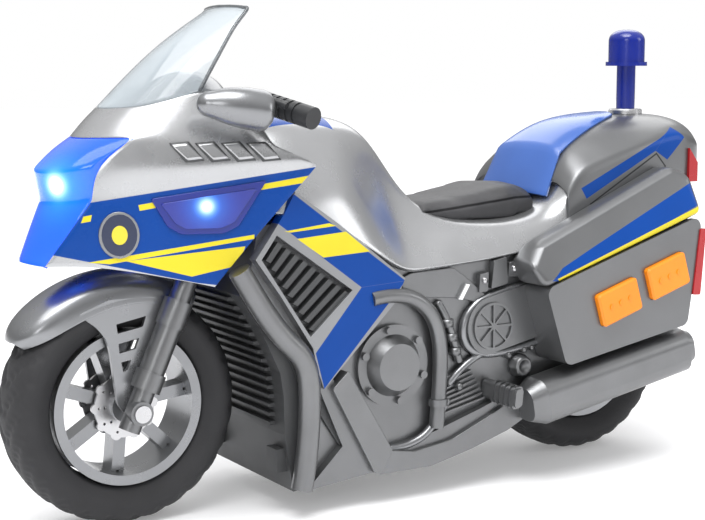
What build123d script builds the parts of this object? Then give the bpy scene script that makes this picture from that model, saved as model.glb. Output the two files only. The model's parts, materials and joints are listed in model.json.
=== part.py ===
"""Toy touring motorcycle with a pull-back clockwork drive, lights and two sound buttons.

Millimetres. The front faces -Y, +X is the motorcycle's left side, +Z is up, and the ground is z = 0.
The origin is on the ground, under the middle of the motorcycle.
"""
from build123d import *
from math import cos, degrees, pi, radians, sin
import os

# ---- driving dimensions ------------------------------------------------------------------------
FRONT_AXLE_Y = -91.0        # the two axles, and how high they stand
REAR_AXLE_Y = 79.0
AXLE_HEIGHT = 35.0

TYRE_RADIUS = 35.0
TYRE_HALF_WIDTH = 9.0
RIM_RADIUS = 22.9
RIM_SEAT_RADIUS = 21.4
RIM_HALF_WIDTH = 8.7
RIM_INNER_RADIUS = 20.0
HUB_RADIUS = 4.6
HUB_HALF_LENGTH = 7.0
SPOKES = 7
FIRST_SPOKE_ANGLE = 110.0
AXLE_RADIUS = 1.5
RUNNING_GAP = 0.06          # radial clearance of a shaft in its bearing
PRESS_GAP = 0.0             # a wheel or gear pressed on its axle

RAKE = 24.0                 # steering axis, from the vertical
FORK_HALF_SPACING = 13.8
STEM_RADIUS = 3.0

BODY_HALF_WIDTH = 26.0      # outer face of the two chassis halves
WALL = 2.0
WELL_RADIUS = 37.5          # rear wheel well
WELL_HALF_WIDTH = 11.5
MOTOR_WALL = 13.5           # inner wall of the motor bay
PANNIER_INNER = 26.2
PANNIER_OUTER = 41.0
BUTTON_TRAVEL = 1.5

GEAR_MODULE = 0.6
AXLE_TEETH = 14
IDLER_TEETH = 24
BARREL_TEETH = 30
GEAR_PLANE = -15.0          # x of the gear train's inner face
GEAR_THICKNESS = 2.0

os.makedirs("parts", exist_ok=True)


# ---- shared shapes -------------------------------------------------------------------------------
def slab(outline, x_from, x_to, corner=0.0):
    """A solid with a side outline of (y, z) points, from one x to another."""
    with BuildPart() as piece:
        with BuildSketch(Plane.YZ.offset(x_from)) as profile:
            with BuildLine():
                Polyline(*outline, close=True)
            make_face()
            if corner:
                fillet(profile.vertices(), corner)
        extrude(amount=x_to - x_from)
    return piece.part


def cross_loft(sections):
    """A straight-sided loft through half sections {y: [(x, z), ...]}, mirrored left to right."""
    with BuildPart() as piece:
        for y, half in sorted(sections.items(), reverse=True):
            with BuildSketch(Plane.XZ.offset(-y)):
                with BuildLine():
                    Polyline(*half, *[(-x, z) for x, z in reversed(half) if x > 0], close=True)
                make_face()
        loft(ruled=True)
    return piece.part


def plan_loft(sections):
    """A straight-sided loft through plan outlines {z: [(x, y), ...]}, mirrored left to right."""
    with BuildPart() as piece:
        for z, half in sections.items():
            with BuildSketch(Plane.XY.offset(z)):
                with BuildLine():
                    Polyline(*half, *[(-x, y) for x, y in reversed(half) if x > 0], close=True)
                make_face()
        loft(ruled=True)
    return piece.part


def round_bar(path, radius, x=None):
    """A round bar along points; with x given, the points are (y, z) in that plane."""
    points = [(x, y, z) for y, z in path] if x is not None else path
    with BuildPart() as piece:
        with BuildLine() as centre:
            Spline(*points)
        start = centre.line @ 0
        with BuildSketch(Plane(origin=start, z_dir=centre.line % 0)):
            Circle(radius)
        sweep()
    return piece.part


def axle_pin(y, z, radius, x_from, x_to):
    """A round pin along X."""
    with BuildPart() as piece:
        with BuildSketch(Plane.YZ.offset(x_from)):
            with Locations((y, z)):
                Circle(radius)
        extrude(amount=x_to - x_from)
    return piece.part


def save(part, name):
    """Label one piece and write its STEP file."""
    part.label = name
    export_step(part, f"parts/{name}.step")


def between(start, end, part_way):
    """The point part of the way from one (y, z) point to another."""
    return tuple(a + (b - a) * part_way for a, b in zip(start, end))


# ---- wheels --------------------------------------------------------------------------------------
def tyre(axle_y):
    """Rounded touring tyre with slanted tread grooves."""
    shoulder = TYRE_HALF_WIDTH - 1.0
    with BuildPart() as piece:
        with BuildSketch(Plane.XY.offset(AXLE_HEIGHT)):
            with BuildLine():
                inner = axle_y + RIM_SEAT_RADIUS
                lip = axle_y + RIM_RADIUS + 0.2
                crown = axle_y + TYRE_RADIUS
                Polyline((-7.4, lip), (-7.4, inner), (7.4, inner), (7.4, lip))
                Line((7.4, lip), (shoulder, lip + 0.6))
                Spline((shoulder, lip + 0.6), (TYRE_HALF_WIDTH, axle_y + 28.5), (7.0, crown - 1.6), (0, crown),
                       (-7.0, crown - 1.6), (-TYRE_HALF_WIDTH, axle_y + 28.5), (-shoulder, lip + 0.6))
                Line((-shoulder, lip + 0.6), (-7.4, lip))
            make_face()
        revolve(axis=Axis((0, axle_y, AXLE_HEIGHT), (1, 0, 0)))
    return piece.part


def rim(axle_y, bore_radius):
    """Cast rim with seven paired spokes and a hub."""
    with BuildPart() as piece:
        with BuildSketch(Plane.XY.offset(AXLE_HEIGHT)):
            with BuildLine():
                lip_in = RIM_HALF_WIDTH - 1.3
                Polyline((-RIM_HALF_WIDTH, axle_y + RIM_INNER_RADIUS), (RIM_HALF_WIDTH, axle_y + RIM_INNER_RADIUS),
                         (RIM_HALF_WIDTH, axle_y + RIM_RADIUS), (lip_in, axle_y + RIM_RADIUS),
                         (lip_in, axle_y + RIM_SEAT_RADIUS), (-lip_in, axle_y + RIM_SEAT_RADIUS),
                         (-lip_in, axle_y + RIM_RADIUS), (-RIM_HALF_WIDTH, axle_y + RIM_RADIUS), close=True)
            make_face()
        revolve(axis=Axis((0, axle_y, AXLE_HEIGHT), (1, 0, 0)))
        with BuildSketch(Plane.YZ.offset(-HUB_HALF_LENGTH)):
            with Locations((axle_y, AXLE_HEIGHT)):
                Circle(HUB_RADIUS)
        extrude(amount=2 * HUB_HALF_LENGTH)
        spoke_length = RIM_INNER_RADIUS - HUB_RADIUS + 1.6
        with BuildSketch(Plane.YZ.offset(-3.4)) as spokes:
            with Locations((axle_y, AXLE_HEIGHT)):
                for number in range(SPOKES):
                    angle = FIRST_SPOKE_ANGLE + number * 360 / SPOKES
                    middle = HUB_RADIUS + spoke_length / 2 - 0.8
                    along = (cos(radians(angle)), sin(radians(angle)))
                    for side in (-1.15, 1.15):
                        place = (middle * along[0] - side * along[1], middle * along[1] + side * along[0])
                        with Locations(place):
                            Rectangle(spoke_length, 1.5, rotation=angle)
                    with Locations((middle * along[0], middle * along[1])):
                        Rectangle(spoke_length - 2.5, 1.0, rotation=angle)
        extrude(amount=6.8)
        with Locations(Plane.YZ.offset(HUB_HALF_LENGTH)):
            with Locations((axle_y, AXLE_HEIGHT)):
                Hole(bore_radius, depth=2 * HUB_HALF_LENGTH)
    return piece.part


def brake_discs(axle_y):
    """A drilled brake disc on each side of the hub."""
    with BuildPart() as piece:
        with BuildSketch(Plane.YZ.offset(4.4)):
            with Locations((axle_y, AXLE_HEIGHT)):
                Circle(9.4)
                with PolarLocations(8.9, 10):
                    Circle(1.5)
                Circle(HUB_RADIUS, mode=Mode.SUBTRACT)
                for ring_radius, holes in ((6.2, 8), (8.0, 10)):
                    with PolarLocations(ring_radius, holes):
                        Circle(0.4, mode=Mode.SUBTRACT)
        extrude(amount=0.9)
        mirror(about=Plane.YZ)
    return piece.part


front_tyre = tyre(FRONT_AXLE_Y)
front_rim = rim(FRONT_AXLE_Y, AXLE_RADIUS + RUNNING_GAP)
front_brake_discs = brake_discs(FRONT_AXLE_Y)
rear_tyre = tyre(REAR_AXLE_Y)
rear_rim = rim(REAR_AXLE_Y, AXLE_RADIUS + PRESS_GAP)


# ---- clockwork: gears on the rear axle, an idler and the spring barrel ------------------------------
def pitch_radius(teeth):
    return teeth * GEAR_MODULE / 2


def mesh_phase(driver_phase, driver_teeth, direction, driven_teeth):
    """Angle of one tooth of a driven gear, so that its gap meets the driver's tooth."""
    circular_pitch = pi * GEAR_MODULE
    offset = pitch_radius(driver_teeth) * (driver_phase - direction)
    return direction + pi - (offset + circular_pitch / 2) / pitch_radius(driven_teeth)


def gear(centre, teeth, phase, x_from, thickness):
    """A spur gear with backlash; phase is the angle of its first tooth in radians."""
    radius = pitch_radius(teeth)
    tip, root = radius + 0.46, radius - 0.72
    with BuildPart() as piece:
        with BuildSketch(Plane.YZ.offset(x_from)):
            with Locations(centre):
                Circle(root)
                with Locations(Rotation(0, 0, degrees(phase))):
                    with PolarLocations(0, teeth):
                        Polygon((root - 0.3, -0.50), (root, -0.50), (radius, -0.35), (tip, -0.16),
                                (tip, 0.16), (radius, 0.35), (root, 0.50), (root - 0.3, 0.50), align=None)
        extrude(amount=thickness)
    return piece.part


axle_centre = (REAR_AXLE_Y, AXLE_HEIGHT)
idler_direction = radians(157)
barrel_direction = radians(158)
idler_distance = pitch_radius(AXLE_TEETH) + pitch_radius(IDLER_TEETH)
barrel_distance = pitch_radius(IDLER_TEETH) + pitch_radius(BARREL_TEETH)
idler_centre = (axle_centre[0] + idler_distance * cos(idler_direction),
                axle_centre[1] + idler_distance * sin(idler_direction))
barrel_centre = (idler_centre[0] + barrel_distance * cos(barrel_direction),
                 idler_centre[1] + barrel_distance * sin(barrel_direction))
idler_phase = mesh_phase(0.0, AXLE_TEETH, idler_direction, IDLER_TEETH)
barrel_phase = mesh_phase(idler_phase, IDLER_TEETH, barrel_direction, BARREL_TEETH)
GEAR_END = GEAR_PLANE - GEAR_THICKNESS
CASE_INNER = -23.6
CASE_OUTER = -24.8
BARREL_SHAFT = 1.2
IDLER_SHAFT = 1.0

with BuildPart() as axle_pinion:
    add(gear(axle_centre, AXLE_TEETH, 0.0, GEAR_END, GEAR_THICKNESS))
    with Locations(Plane.YZ.offset(GEAR_PLANE)):
        with Locations(axle_centre):
            Hole(AXLE_RADIUS, depth=GEAR_THICKNESS)

rear_axle = axle_pin(*axle_centre, AXLE_RADIUS, CASE_OUTER, 24.0)

with BuildPart() as idler_gear:
    add(gear(idler_centre, IDLER_TEETH, idler_phase, GEAR_END, GEAR_THICKNESS))
    add(axle_pin(*idler_centre, IDLER_SHAFT, CASE_OUTER, -12.5))
    add(axle_pin(*idler_centre, 2.2, GEAR_END - 2.0, GEAR_PLANE + 0.8))

with BuildPart() as spring_barrel:
    add(gear(barrel_centre, BARREL_TEETH, barrel_phase, GEAR_END, GEAR_THICKNESS))
    with BuildSketch(Plane.YZ.offset(GEAR_END)):
        with Locations(barrel_centre):
            Circle(8.0)
            Circle(7.2, mode=Mode.SUBTRACT)
    extrude(amount=-4.6)
    add(axle_pin(*barrel_centre, BARREL_SHAFT, CASE_OUTER, -12.5))

with BuildPart() as mainspring:
    turns, inner_coil, outer_coil = 5, 2.2, 6.9
    strip = 0.35
    steps = turns * 12
    coil = [(inner_coil + (outer_coil - inner_coil) * step / steps, 2 * pi * step / 12)
            for step in range(steps + 1)]
    outer_edge = [(barrel_centre[0] + r * cos(a), barrel_centre[1] + r * sin(a)) for r, a in coil]
    inner_edge = [(barrel_centre[0] + (r - strip) * cos(a), barrel_centre[1] + (r - strip) * sin(a))
                  for r, a in reversed(coil)]
    with BuildSketch(Plane.YZ.offset(GEAR_END - 4.2)):
        with BuildLine():
            Polyline(*outer_edge, *inner_edge, close=True)
        make_face()
    extrude(amount=3.8)

# ---- steering: fork, yoke, mudguard, handlebar ------------------------------------------------------
steer_up = (0, sin(radians(RAKE)), cos(radians(RAKE)))


def on_steer_axis(distance, x=0.0):
    """A point beside the steering axis, a distance up from the front axle."""
    return (x, FRONT_AXLE_Y + distance * steer_up[1], AXLE_HEIGHT + distance * steer_up[2])


def steer_plane(distance, x=0.0):
    return Plane(origin=on_steer_axis(distance, x), x_dir=(1, 0, 0), z_dir=steer_up)


def fork_tube(x, radius, start, end):
    with BuildPart() as piece:
        with BuildSketch(steer_plane(start, x)):
            Circle(radius)
        extrude(amount=end - start)
    return piece.part


FORK_TOP = 59.0
fork_sections = ((3.2, -6.0, 6.6), (4.5, 6.6, 12.0), (3.8, 12.0, 26.0), (4.35, 26.0, 34.0),
                 (3.25, 34.0, FORK_TOP))
with BuildPart() as fork_leg_left:
    for tube_radius, tube_start, tube_end in fork_sections:
        add(fork_tube(FORK_HALF_SPACING, tube_radius, tube_start, tube_end))
    add(axle_pin(FRONT_AXLE_Y, AXLE_HEIGHT, 3.5, FORK_HALF_SPACING, 18.2))
    with Locations(Plane.YZ.offset(30)):
        with Locations((FRONT_AXLE_Y, AXLE_HEIGHT)):
            Hole(AXLE_RADIUS, depth=30)
fork_leg_right = mirror(fork_leg_left.part, about=Plane.YZ)

with BuildPart() as front_axle:
    add(axle_pin(FRONT_AXLE_Y, AXLE_HEIGHT, AXLE_RADIUS, 0, 18.2))
    add(axle_pin(FRONT_AXLE_Y, AXLE_HEIGHT, 2.5, 18.2, 18.9))
    mirror(about=Plane.YZ)

YOKE_START, YOKE_END = 50.0, 56.0
HEAD_START, HEAD_END = 60.0, 80.0
STEM_TOP = 94.0
with BuildPart() as fork_yoke:
    with BuildSketch(steer_plane(YOKE_START)):
        RectangleRounded(2 * FORK_HALF_SPACING + 10, 12, 4)
        with Locations((-FORK_HALF_SPACING, 0), (FORK_HALF_SPACING, 0)):
            Circle(3.25, mode=Mode.SUBTRACT)
    extrude(amount=YOKE_END - YOKE_START)
    with BuildSketch(steer_plane(YOKE_END)):
        Circle(STEM_RADIUS)
    extrude(amount=STEM_TOP - YOKE_END)

# Mudguard: an arched shell over the tyre, with a slotted bracket down to each fork leg
GUARD_INNER, GUARD_OUTER = 37.8, 39.5
GUARD_HALF_WIDTH = 11.0
guard_bracket = [(-104.5, 62.5), (-101.2, 59.5), (-98.9, 56.4), (-97.7, 52.8), (-95.7, 37.0), (-93.0, 33.5),
                 (-90.0, 36.0), (-75.5, 69.5), (-80.0, 71.5), (-95.0, 70.5)]
guard_slots = ([(-95.6, 60.3), (-86.4, 62.0), (-87.4, 59.0), (-95.2, 57.6)],
               [(-95.0, 54.6), (-88.6, 55.8), (-89.8, 52.7), (-94.8, 51.8)],
               [(-94.3, 49.2), (-91.2, 49.6), (-92.4, 46.8), (-93.7, 46.2)])


def wheel_arc(radius, ahead_angle):
    """(y, z) on a circle round the front axle; the angle rises from straight ahead."""
    angle = radians(ahead_angle)
    return (FRONT_AXLE_Y - radius * cos(angle), AXLE_HEIGHT + radius * sin(angle))


def arch(inner, outer, start, end, x_from, x_to):
    """A curved band round the front axle, between two angles."""
    middle = (start + end) / 2
    with BuildPart() as piece:
        with BuildSketch(Plane.YZ.offset(x_from)):
            with BuildLine():
                ThreePointArc(wheel_arc(outer, start), wheel_arc(outer, middle), wheel_arc(outer, end))
                Line(wheel_arc(outer, end), wheel_arc(inner, end))
                ThreePointArc(wheel_arc(inner, end), wheel_arc(inner, middle), wheel_arc(inner, start))
                Line(wheel_arc(inner, start), wheel_arc(outer, start))
            make_face()
        extrude(amount=x_to - x_from)
    return piece.part


with BuildPart() as front_mudguard:
    add(arch(GUARD_INNER, GUARD_OUTER, 36, 124, -9.6, 9.6))
    add(arch(35.0, 38.6, 42, 122, 9.6, GUARD_HALF_WIDTH))
    add(arch(GUARD_INNER, GUARD_OUTER, 36, 124, 9.6, 10.2))
    add(slab(guard_bracket, 9.6, GUARD_HALF_WIDTH))
    for slot in guard_slots:
        add(slab(slot, 9, 12), mode=Mode.SUBTRACT)
    for tube_radius, tube_start, tube_end in fork_sections:
        add(fork_tube(FORK_HALF_SPACING, tube_radius, tube_start, tube_end), mode=Mode.SUBTRACT)
    add(axle_pin(FRONT_AXLE_Y, AXLE_HEIGHT, AXLE_RADIUS, 5, 20), mode=Mode.SUBTRACT)
    split(bisect_by=Plane.YZ, keep=Keep.TOP)
    mirror(about=Plane.YZ)

GRIP_INNER = (24.0, -55.0, 123.3)
GRIP_OUTER = (42.6, -48.6, 118.9)
bar_path = [(0, -53.2, 120.8), (9, -53.8, 122.6), (17, -55.0, 124.2), GRIP_INNER]
grip_direction = Vector(*GRIP_OUTER) - Vector(*GRIP_INNER)
grip_length = grip_direction.length
grip_plane = Plane(origin=GRIP_INNER, z_dir=grip_direction)
BAR_RADIUS = 1.9
with BuildPart() as handlebar:
    add(round_bar(bar_path, BAR_RADIUS))
    with BuildSketch(grip_plane):
        Circle(BAR_RADIUS)
    extrude(amount=grip_length - 1)
    split(bisect_by=Plane.YZ, keep=Keep.TOP)
    mirror(about=Plane.YZ)
    with BuildSketch(steer_plane(90)):
        Circle(5.2)
    extrude(amount=5.5)
    add(fork_yoke.part, mode=Mode.SUBTRACT)

with BuildPart() as handlebar_grips:
    with BuildSketch(grip_plane):
        Circle(3.2)
    extrude(amount=grip_length)
    for number in range(5):
        with BuildSketch(grip_plane.offset(4.0 + 2.6 * number)):
            Circle(3.2)
            Circle(2.85, mode=Mode.SUBTRACT)
        extrude(amount=0.8, mode=Mode.SUBTRACT)
    add(handlebar.part, mode=Mode.SUBTRACT)
    mirror(about=Plane.YZ)

with BuildPart() as brake_levers:
    add(round_bar([(22.5, -60.3, 124.6), (30, -59.2, 124.6), (39, -55.0, 122.4)], 1.1))
    add(round_bar([(21.0, -57.3, 124.4), (21.6, -59.5, 124.7), (23.5, -60.4, 124.6)], 1.1))
    add(handlebar.part, mode=Mode.SUBTRACT)
    add(handlebar_grips.part, mode=Mode.SUBTRACT)
    mirror(about=Plane.YZ)

# Hand guard: a pointed cup in front of each grip
with BuildPart() as hand_guards:
    cup = ((-62.0, 34.0, 121.3, 5.6, 5.9), (-70.0, 33.0, 122.6, 5.0, 5.3), (-77.5, 31.5, 122.8, 2.8, 3.0))
    for y, x, z, half_x, half_z in cup:
        with BuildSketch(Plane.XZ.offset(-y)):
            with Locations((x, z)):
                Ellipse(half_x, half_z)
    loft()
    for y, x, z, half_x, half_z in cup:
        with BuildSketch(Plane.XZ.offset(-y - 1.2)):
            with Locations((x, z)):
                Ellipse(half_x - 1.1, half_z - 1.1)
    loft(mode=Mode.SUBTRACT)
    with Locations((25.4, -66.2, 122.6)):
        Box(7.6, 2.6, 3.0)
    with Locations((22.6, -61.6, 122.9)):
        Box(2.6, 11.0, 3.0)
    add(handlebar.part, mode=Mode.SUBTRACT)
    add(brake_levers.part, mode=Mode.SUBTRACT)
    mirror(about=Plane.YZ)

# ---- chassis halves --------------------------------------------------------------------------------
radiator_rear = [(-60.5, 73.0), (-53.0, 57.0), (-47.0, 46.0), (-43.8, 38.0), (-42.0, 8.0)]
belly_bottom = [(-42.0, 8.0), (-38.0, 10.0), (-4.0, 10.0), (20.0, 17.5), (44.0, 25.5), (62.0, 27.0), (90.0, 27.0)]
rear_and_top = [(99.0, 44.0), (106.0, 56.0), (107.0, 80.0), (50.0, 77.0), (34.0, 73.5), (3.0, 72.5), (-12.0, 76.2),
                (-28.0, 83.5), (-48.0, 88.0), (-57.5, 88.0)]
chassis_outline = radiator_rear + belly_bottom[1:] + rear_and_top
front_pocket = [(-55.0, 72.0), (-45.0, 49.0), (-41.5, 38.0), (-39.8, 12.0), (-4.5, 12.0), (18.0, 19.5), (36.0, 25.5),
                (39.0, 36.0), (39.0, 50.0), (36.0, 60.0), (34.0, 71.5), (3.0, 70.5), (-12.5, 74.1), (-28.5, 81.4),
                (-47.5, 86.0), (-55.0, 86.0)]
motor_bay = [(42.5, 33.0), (62.0, 29.5), (89.0, 29.5), (89.0, 42.0), (66.0, 57.5), (44.0, 57.5)]
lower_rail = [(-43.5, 8.0), (-22.0, 10.2), (-4.0, 10.8), (20.0, 17.8), (36.0, 23.0), (36.0, 31.0), (20.0, 25.5),
              (-3.0, 18.8), (-16.5, 17.0), (-24.0, 18.5), (-38.0, 49.0), (-43.6, 49.0), (-31.0, 20.0)]
seam_screws = [(-35.0, 55.0), (-30.0, 22.0), (14.0, 62.0), (22.0, 30.0)]
DOOR_FRONT, DOOR_REAR, DOOR_HALF_WIDTH = -35.0, -7.0, 15.0
DOOR_THICKNESS = 1.8

with BuildPart() as chassis_blank:
    add(slab(chassis_outline, 0, BODY_HALF_WIDTH))
    add(slab(front_pocket, 0, BODY_HALF_WIDTH - WALL), mode=Mode.SUBTRACT)
    add(slab(lower_rail, BODY_HALF_WIDTH, BODY_HALF_WIDTH + 2.8))
    add(axle_pin(*axle_centre, WELL_RADIUS, 0, WELL_HALF_WIDTH), mode=Mode.SUBTRACT)
    with Locations(((DOOR_HALF_WIDTH + 0.1) / 2, (DOOR_FRONT + DOOR_REAR) / 2, 11)):
        Box(DOOR_HALF_WIDTH + 0.1, DOOR_REAR - DOOR_FRONT + 0.2, 6, mode=Mode.SUBTRACT)
    for y, z in seam_screws:
        add(axle_pin(y, z, 3.0, 0, BODY_HALF_WIDTH - WALL))

with BuildPart() as chassis_left:
    add(chassis_blank.part)
    add(axle_pin(*axle_centre, AXLE_RADIUS + RUNNING_GAP, 10, 25), mode=Mode.SUBTRACT)
    for y, z in seam_screws:
        add(axle_pin(y, z, 0.9, 0, 14), mode=Mode.SUBTRACT)

with BuildPart() as chassis_right:
    add(mirror(chassis_blank.part, about=Plane.YZ))
    add(slab(motor_bay, -MOTOR_WALL, -BODY_HALF_WIDTH), mode=Mode.SUBTRACT)
    add(axle_pin(*axle_centre, AXLE_RADIUS + RUNNING_GAP, -10, -20), mode=Mode.SUBTRACT)
    for centre, shaft in ((idler_centre, IDLER_SHAFT), (barrel_centre, BARREL_SHAFT)):
        add(axle_pin(*centre, shaft + RUNNING_GAP, -12.0, -14.0), mode=Mode.SUBTRACT)
    for y, z in seam_screws:
        add(axle_pin(y, z, 1.1, 0, -BODY_HALF_WIDTH), mode=Mode.SUBTRACT)
        add(axle_pin(y, z, 2.2, -BODY_HALF_WIDTH + 4, -BODY_HALF_WIDTH), mode=Mode.SUBTRACT)

with BuildPart() as body_screws:
    for y, z in seam_screws:
        add(axle_pin(y, z, 0.9, -BODY_HALF_WIDTH + 4, 13.5))
        add(axle_pin(y, z, 2.0, -BODY_HALF_WIDTH + 2.4, -BODY_HALF_WIDTH + 4))
        with Locations((-BODY_HALF_WIDTH + 2.4, y, z)):
            Box(0.8, 2.6, 0.6, mode=Mode.SUBTRACT)
            Box(0.8, 0.6, 2.6, mode=Mode.SUBTRACT)
    with Locations((0, DOOR_REAR - 3.5, 10.4)):
        Cylinder(1.9, 0.6, align=(Align.CENTER, Align.CENTER, Align.MIN))
        Cylinder(0.95, 4.2, align=(Align.CENTER, Align.CENTER, Align.MIN))

with BuildPart() as motor_case:
    add(slab(motor_bay, CASE_INNER, CASE_OUTER))
    for y, z in ((46.0, 36.0), (47.0, 55.0), (84.5, 41.0), (60.0, 32.0)):
        add(axle_pin(y, z, 1.3, CASE_INNER, -MOTOR_WALL))
    for centre, shaft in ((axle_centre, AXLE_RADIUS), (idler_centre, IDLER_SHAFT), (barrel_centre, BARREL_SHAFT)):
        add(axle_pin(*centre, shaft + RUNNING_GAP, -20, -26), mode=Mode.SUBTRACT)

with BuildPart() as battery_door:
    with Locations((0, (DOOR_FRONT + DOOR_REAR) / 2, 10 + DOOR_THICKNESS / 2)):
        Box(2 * DOOR_HALF_WIDTH, DOOR_REAR - DOOR_FRONT, DOOR_THICKNESS)
    with Locations((0, DOOR_REAR - 3.5, 10)):
        Cylinder(1.0, 10, mode=Mode.SUBTRACT)
        Cylinder(2.0, 2.2, mode=Mode.SUBTRACT)


with BuildPart() as battery_cells:
    for x, y in ((-9.0, -28.5), (3.5, -28.5), (-3.0, -17.8)):
        with Locations((x, y, 12.2)):
            Cylinder(5.8, 5.4, align=(Align.CENTER, Align.CENTER, Align.MIN))

# ---- radiator, crash bars and engine dress-up parts ------------------------------------------------
radiator_front = [(-64.0, 68.0), (-57.6, 58.5), (-53.4, 50.0), (-50.6, 44.0), (-49.5, 37.0), (-49.2, 25.0),
                  (-46.4, 7.6)]
FIN_COUNT = 15
FIN_HALF_LENGTH = 20.0
crash_bar_path = [(-65.7, 75.9), (-60.4, 67.4), (-55.1, 59.7), (-50.2, 54.0), (-45.6, 49.2), (-43.4, 44.0),
                  (-42.8, 37.7), (-43.0, 27.8), (-44.0, 17.9), (-45.6, 9.0)]
CRASH_BAR_RADIUS = 3.3
CRASH_BAR_X = 29.6
crash_bar = round_bar(crash_bar_path, CRASH_BAR_RADIUS, x=CRASH_BAR_X)


def front_face_y(height):
    """The radiator's front face, at a height."""
    for (y_a, z_a), (y_b, z_b) in zip(radiator_front, radiator_front[1:]):
        if z_a >= height >= z_b:
            return y_a + (y_b - y_a) * (z_a - height) / (z_a - z_b)


with BuildPart() as radiator_grille:
    add(slab(radiator_front + list(reversed(radiator_rear)), -BODY_HALF_WIDTH, BODY_HALF_WIDTH))
    for number in range(FIN_COUNT):
        height = 27.5 + 2.75 * number
        fin = [(front_face_y(height) - 1.9, height - 0.2), (front_face_y(height) - 1.9, height + 0.7),
               (front_face_y(height) + 0.8, height + 0.9), (front_face_y(height) + 0.8, height - 0.5)]
        add(slab(fin, -FIN_HALF_LENGTH, FIN_HALF_LENGTH))
    add(slab([(-51.0, 13.5), (-51.0, 20.5), (-46.0, 20.5), (-46.0, 13.5)], 17.5, 24.0))
    add(slab([(-51.0, 13.5), (-51.0, 20.5), (-46.0, 20.5), (-46.0, 13.5)], -24.0, -17.5))
    add(crash_bar, mode=Mode.SUBTRACT)
    add(mirror(crash_bar, about=Plane.YZ), mode=Mode.SUBTRACT)

with BuildPart() as crash_bars:
    add(crash_bar)
    add(chassis_left.part, mode=Mode.SUBTRACT)
    mirror(about=Plane.YZ)

ENGINE_CENTRE = (-12.2, 42.6)
with BuildPart() as engine_covers:
    add(axle_pin(*ENGINE_CENTRE, 12.6, BODY_HALF_WIDTH, 27.6))
    with BuildSketch(Plane.YZ.offset(27.6)):
        with Locations(ENGINE_CENTRE):
            Circle(9.6)
    with BuildSketch(Plane.YZ.offset(31.4)):
        with Locations(ENGINE_CENTRE):
            Circle(7.2)
    loft()
    with BuildSketch(Plane.YZ.offset(27.6)):
        with Locations(ENGINE_CENTRE):
            with Locations(Rotation(0, 0, 40)):
                with PolarLocations(11.2, 6):
                    Circle(1.2)
    extrude(amount=1.4)
    for part in (chassis_left.part, crash_bar):
        add(part, mode=Mode.SUBTRACT)
    mirror(about=Plane.YZ)

hose_path = [(-21.0, 64.0), (-12.0, 64.4), (-4.5, 62.2), (1.0, 57.0), (3.8, 49.0), (4.2, 38.0), (3.6, 29.0),
             (3.0, 21.6)]
with BuildPart() as coolant_hoses:
    add(round_bar(hose_path, 2.4, x=28.9))
    with BuildSketch(Plane.XY.offset(28.5)):
        with Locations((28.9, 3.6)):
            Circle(3.0)
    extrude(amount=2.2)
    for part in (chassis_left.part, engine_covers.part):
        add(part, mode=Mode.SUBTRACT)
    mirror(about=Plane.YZ)

BELT_CENTRE = (24.4, 51.7)
belt_outline_rear = 44.0
with BuildPart() as belt_covers:
    with BuildSketch(Plane.YZ.offset(BODY_HALF_WIDTH)):
        with BuildLine():
            top = (BELT_CENTRE[0] - 2.4, BELT_CENTRE[1] + 9.2)
            low = (BELT_CENTRE[0] - 2.4, BELT_CENTRE[1] - 9.2)
            ThreePointArc(top, (BELT_CENTRE[0] - 9.6, BELT_CENTRE[1]), low)
            Polyline(low, (belt_outline_rear, 47.0), (belt_outline_rear, 61.5), (42.0, 65.0), top)
        make_face()
    extrude(amount=3.0)
    with BuildSketch(Plane.YZ.offset(BODY_HALF_WIDTH + 3.0)):
        with Locations(BELT_CENTRE):
            Circle(7.6)
            Circle(6.8, mode=Mode.SUBTRACT)
            with PolarLocations(0, 8):
                with Locations((3.4, 0)):
                    Rectangle(6.9, 0.7)
    extrude(amount=0.7)
    mirror(about=Plane.YZ)

with BuildPart() as footpegs:
    peg_plane = Plane(origin=(BODY_HALF_WIDTH, 24.0, 31.4), z_dir=(15.0, 3.5, -1.6))
    with BuildSketch(peg_plane):
        RectangleRounded(3.6, 6.0, 1.2)
    extrude(amount=14.0)
    for number in range(5):
        with BuildSketch(peg_plane.offset(4.2 + 2.0 * number)):
            RectangleRounded(4.6, 7.2, 1.5)
        extrude(amount=1.1)
    split(bisect_by=Plane.YZ.offset(BODY_HALF_WIDTH), keep=Keep.TOP)
    add(chassis_left.part, mode=Mode.SUBTRACT)
    mirror(about=Plane.YZ)

MUFFLER_START = (33.6, 34.0, 26.0)
MUFFLER_END = (33.6, 98.6, 38.0)
muffler_direction = Vector(*MUFFLER_END) - Vector(*MUFFLER_START)
muffler_plane = Plane(origin=MUFFLER_START, x_dir=(1, 0, 0), z_dir=muffler_direction)
with BuildPart() as mufflers:
    with BuildSketch(muffler_plane):
        RectangleRounded(9.6, 11.0, 4.0)
    with BuildSketch(muffler_plane.offset(5)):
        RectangleRounded(14.0, 15.0, 5.0)
    loft()
    with BuildSketch(muffler_plane.offset(5)):
        RectangleRounded(14.0, 15.0, 5.0)
    extrude(amount=muffler_direction.length - 5)
    with BuildSketch(muffler_plane.offset(muffler_direction.length)):
        RectangleRounded(10.4, 11.0, 4.0)
    extrude(amount=3.6)
    with BuildSketch(muffler_plane.offset(muffler_direction.length + 3.6)):
        Circle(3.4)
    extrude(amount=-7, mode=Mode.SUBTRACT)
    with Locations((26.6, 60.0, 31.0), (26.6, 84.0, 35.4)):
        Box(2.8, 5.0, 4.0)
    add(chassis_left.part, mode=Mode.SUBTRACT)
    mirror(about=Plane.YZ)

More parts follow.
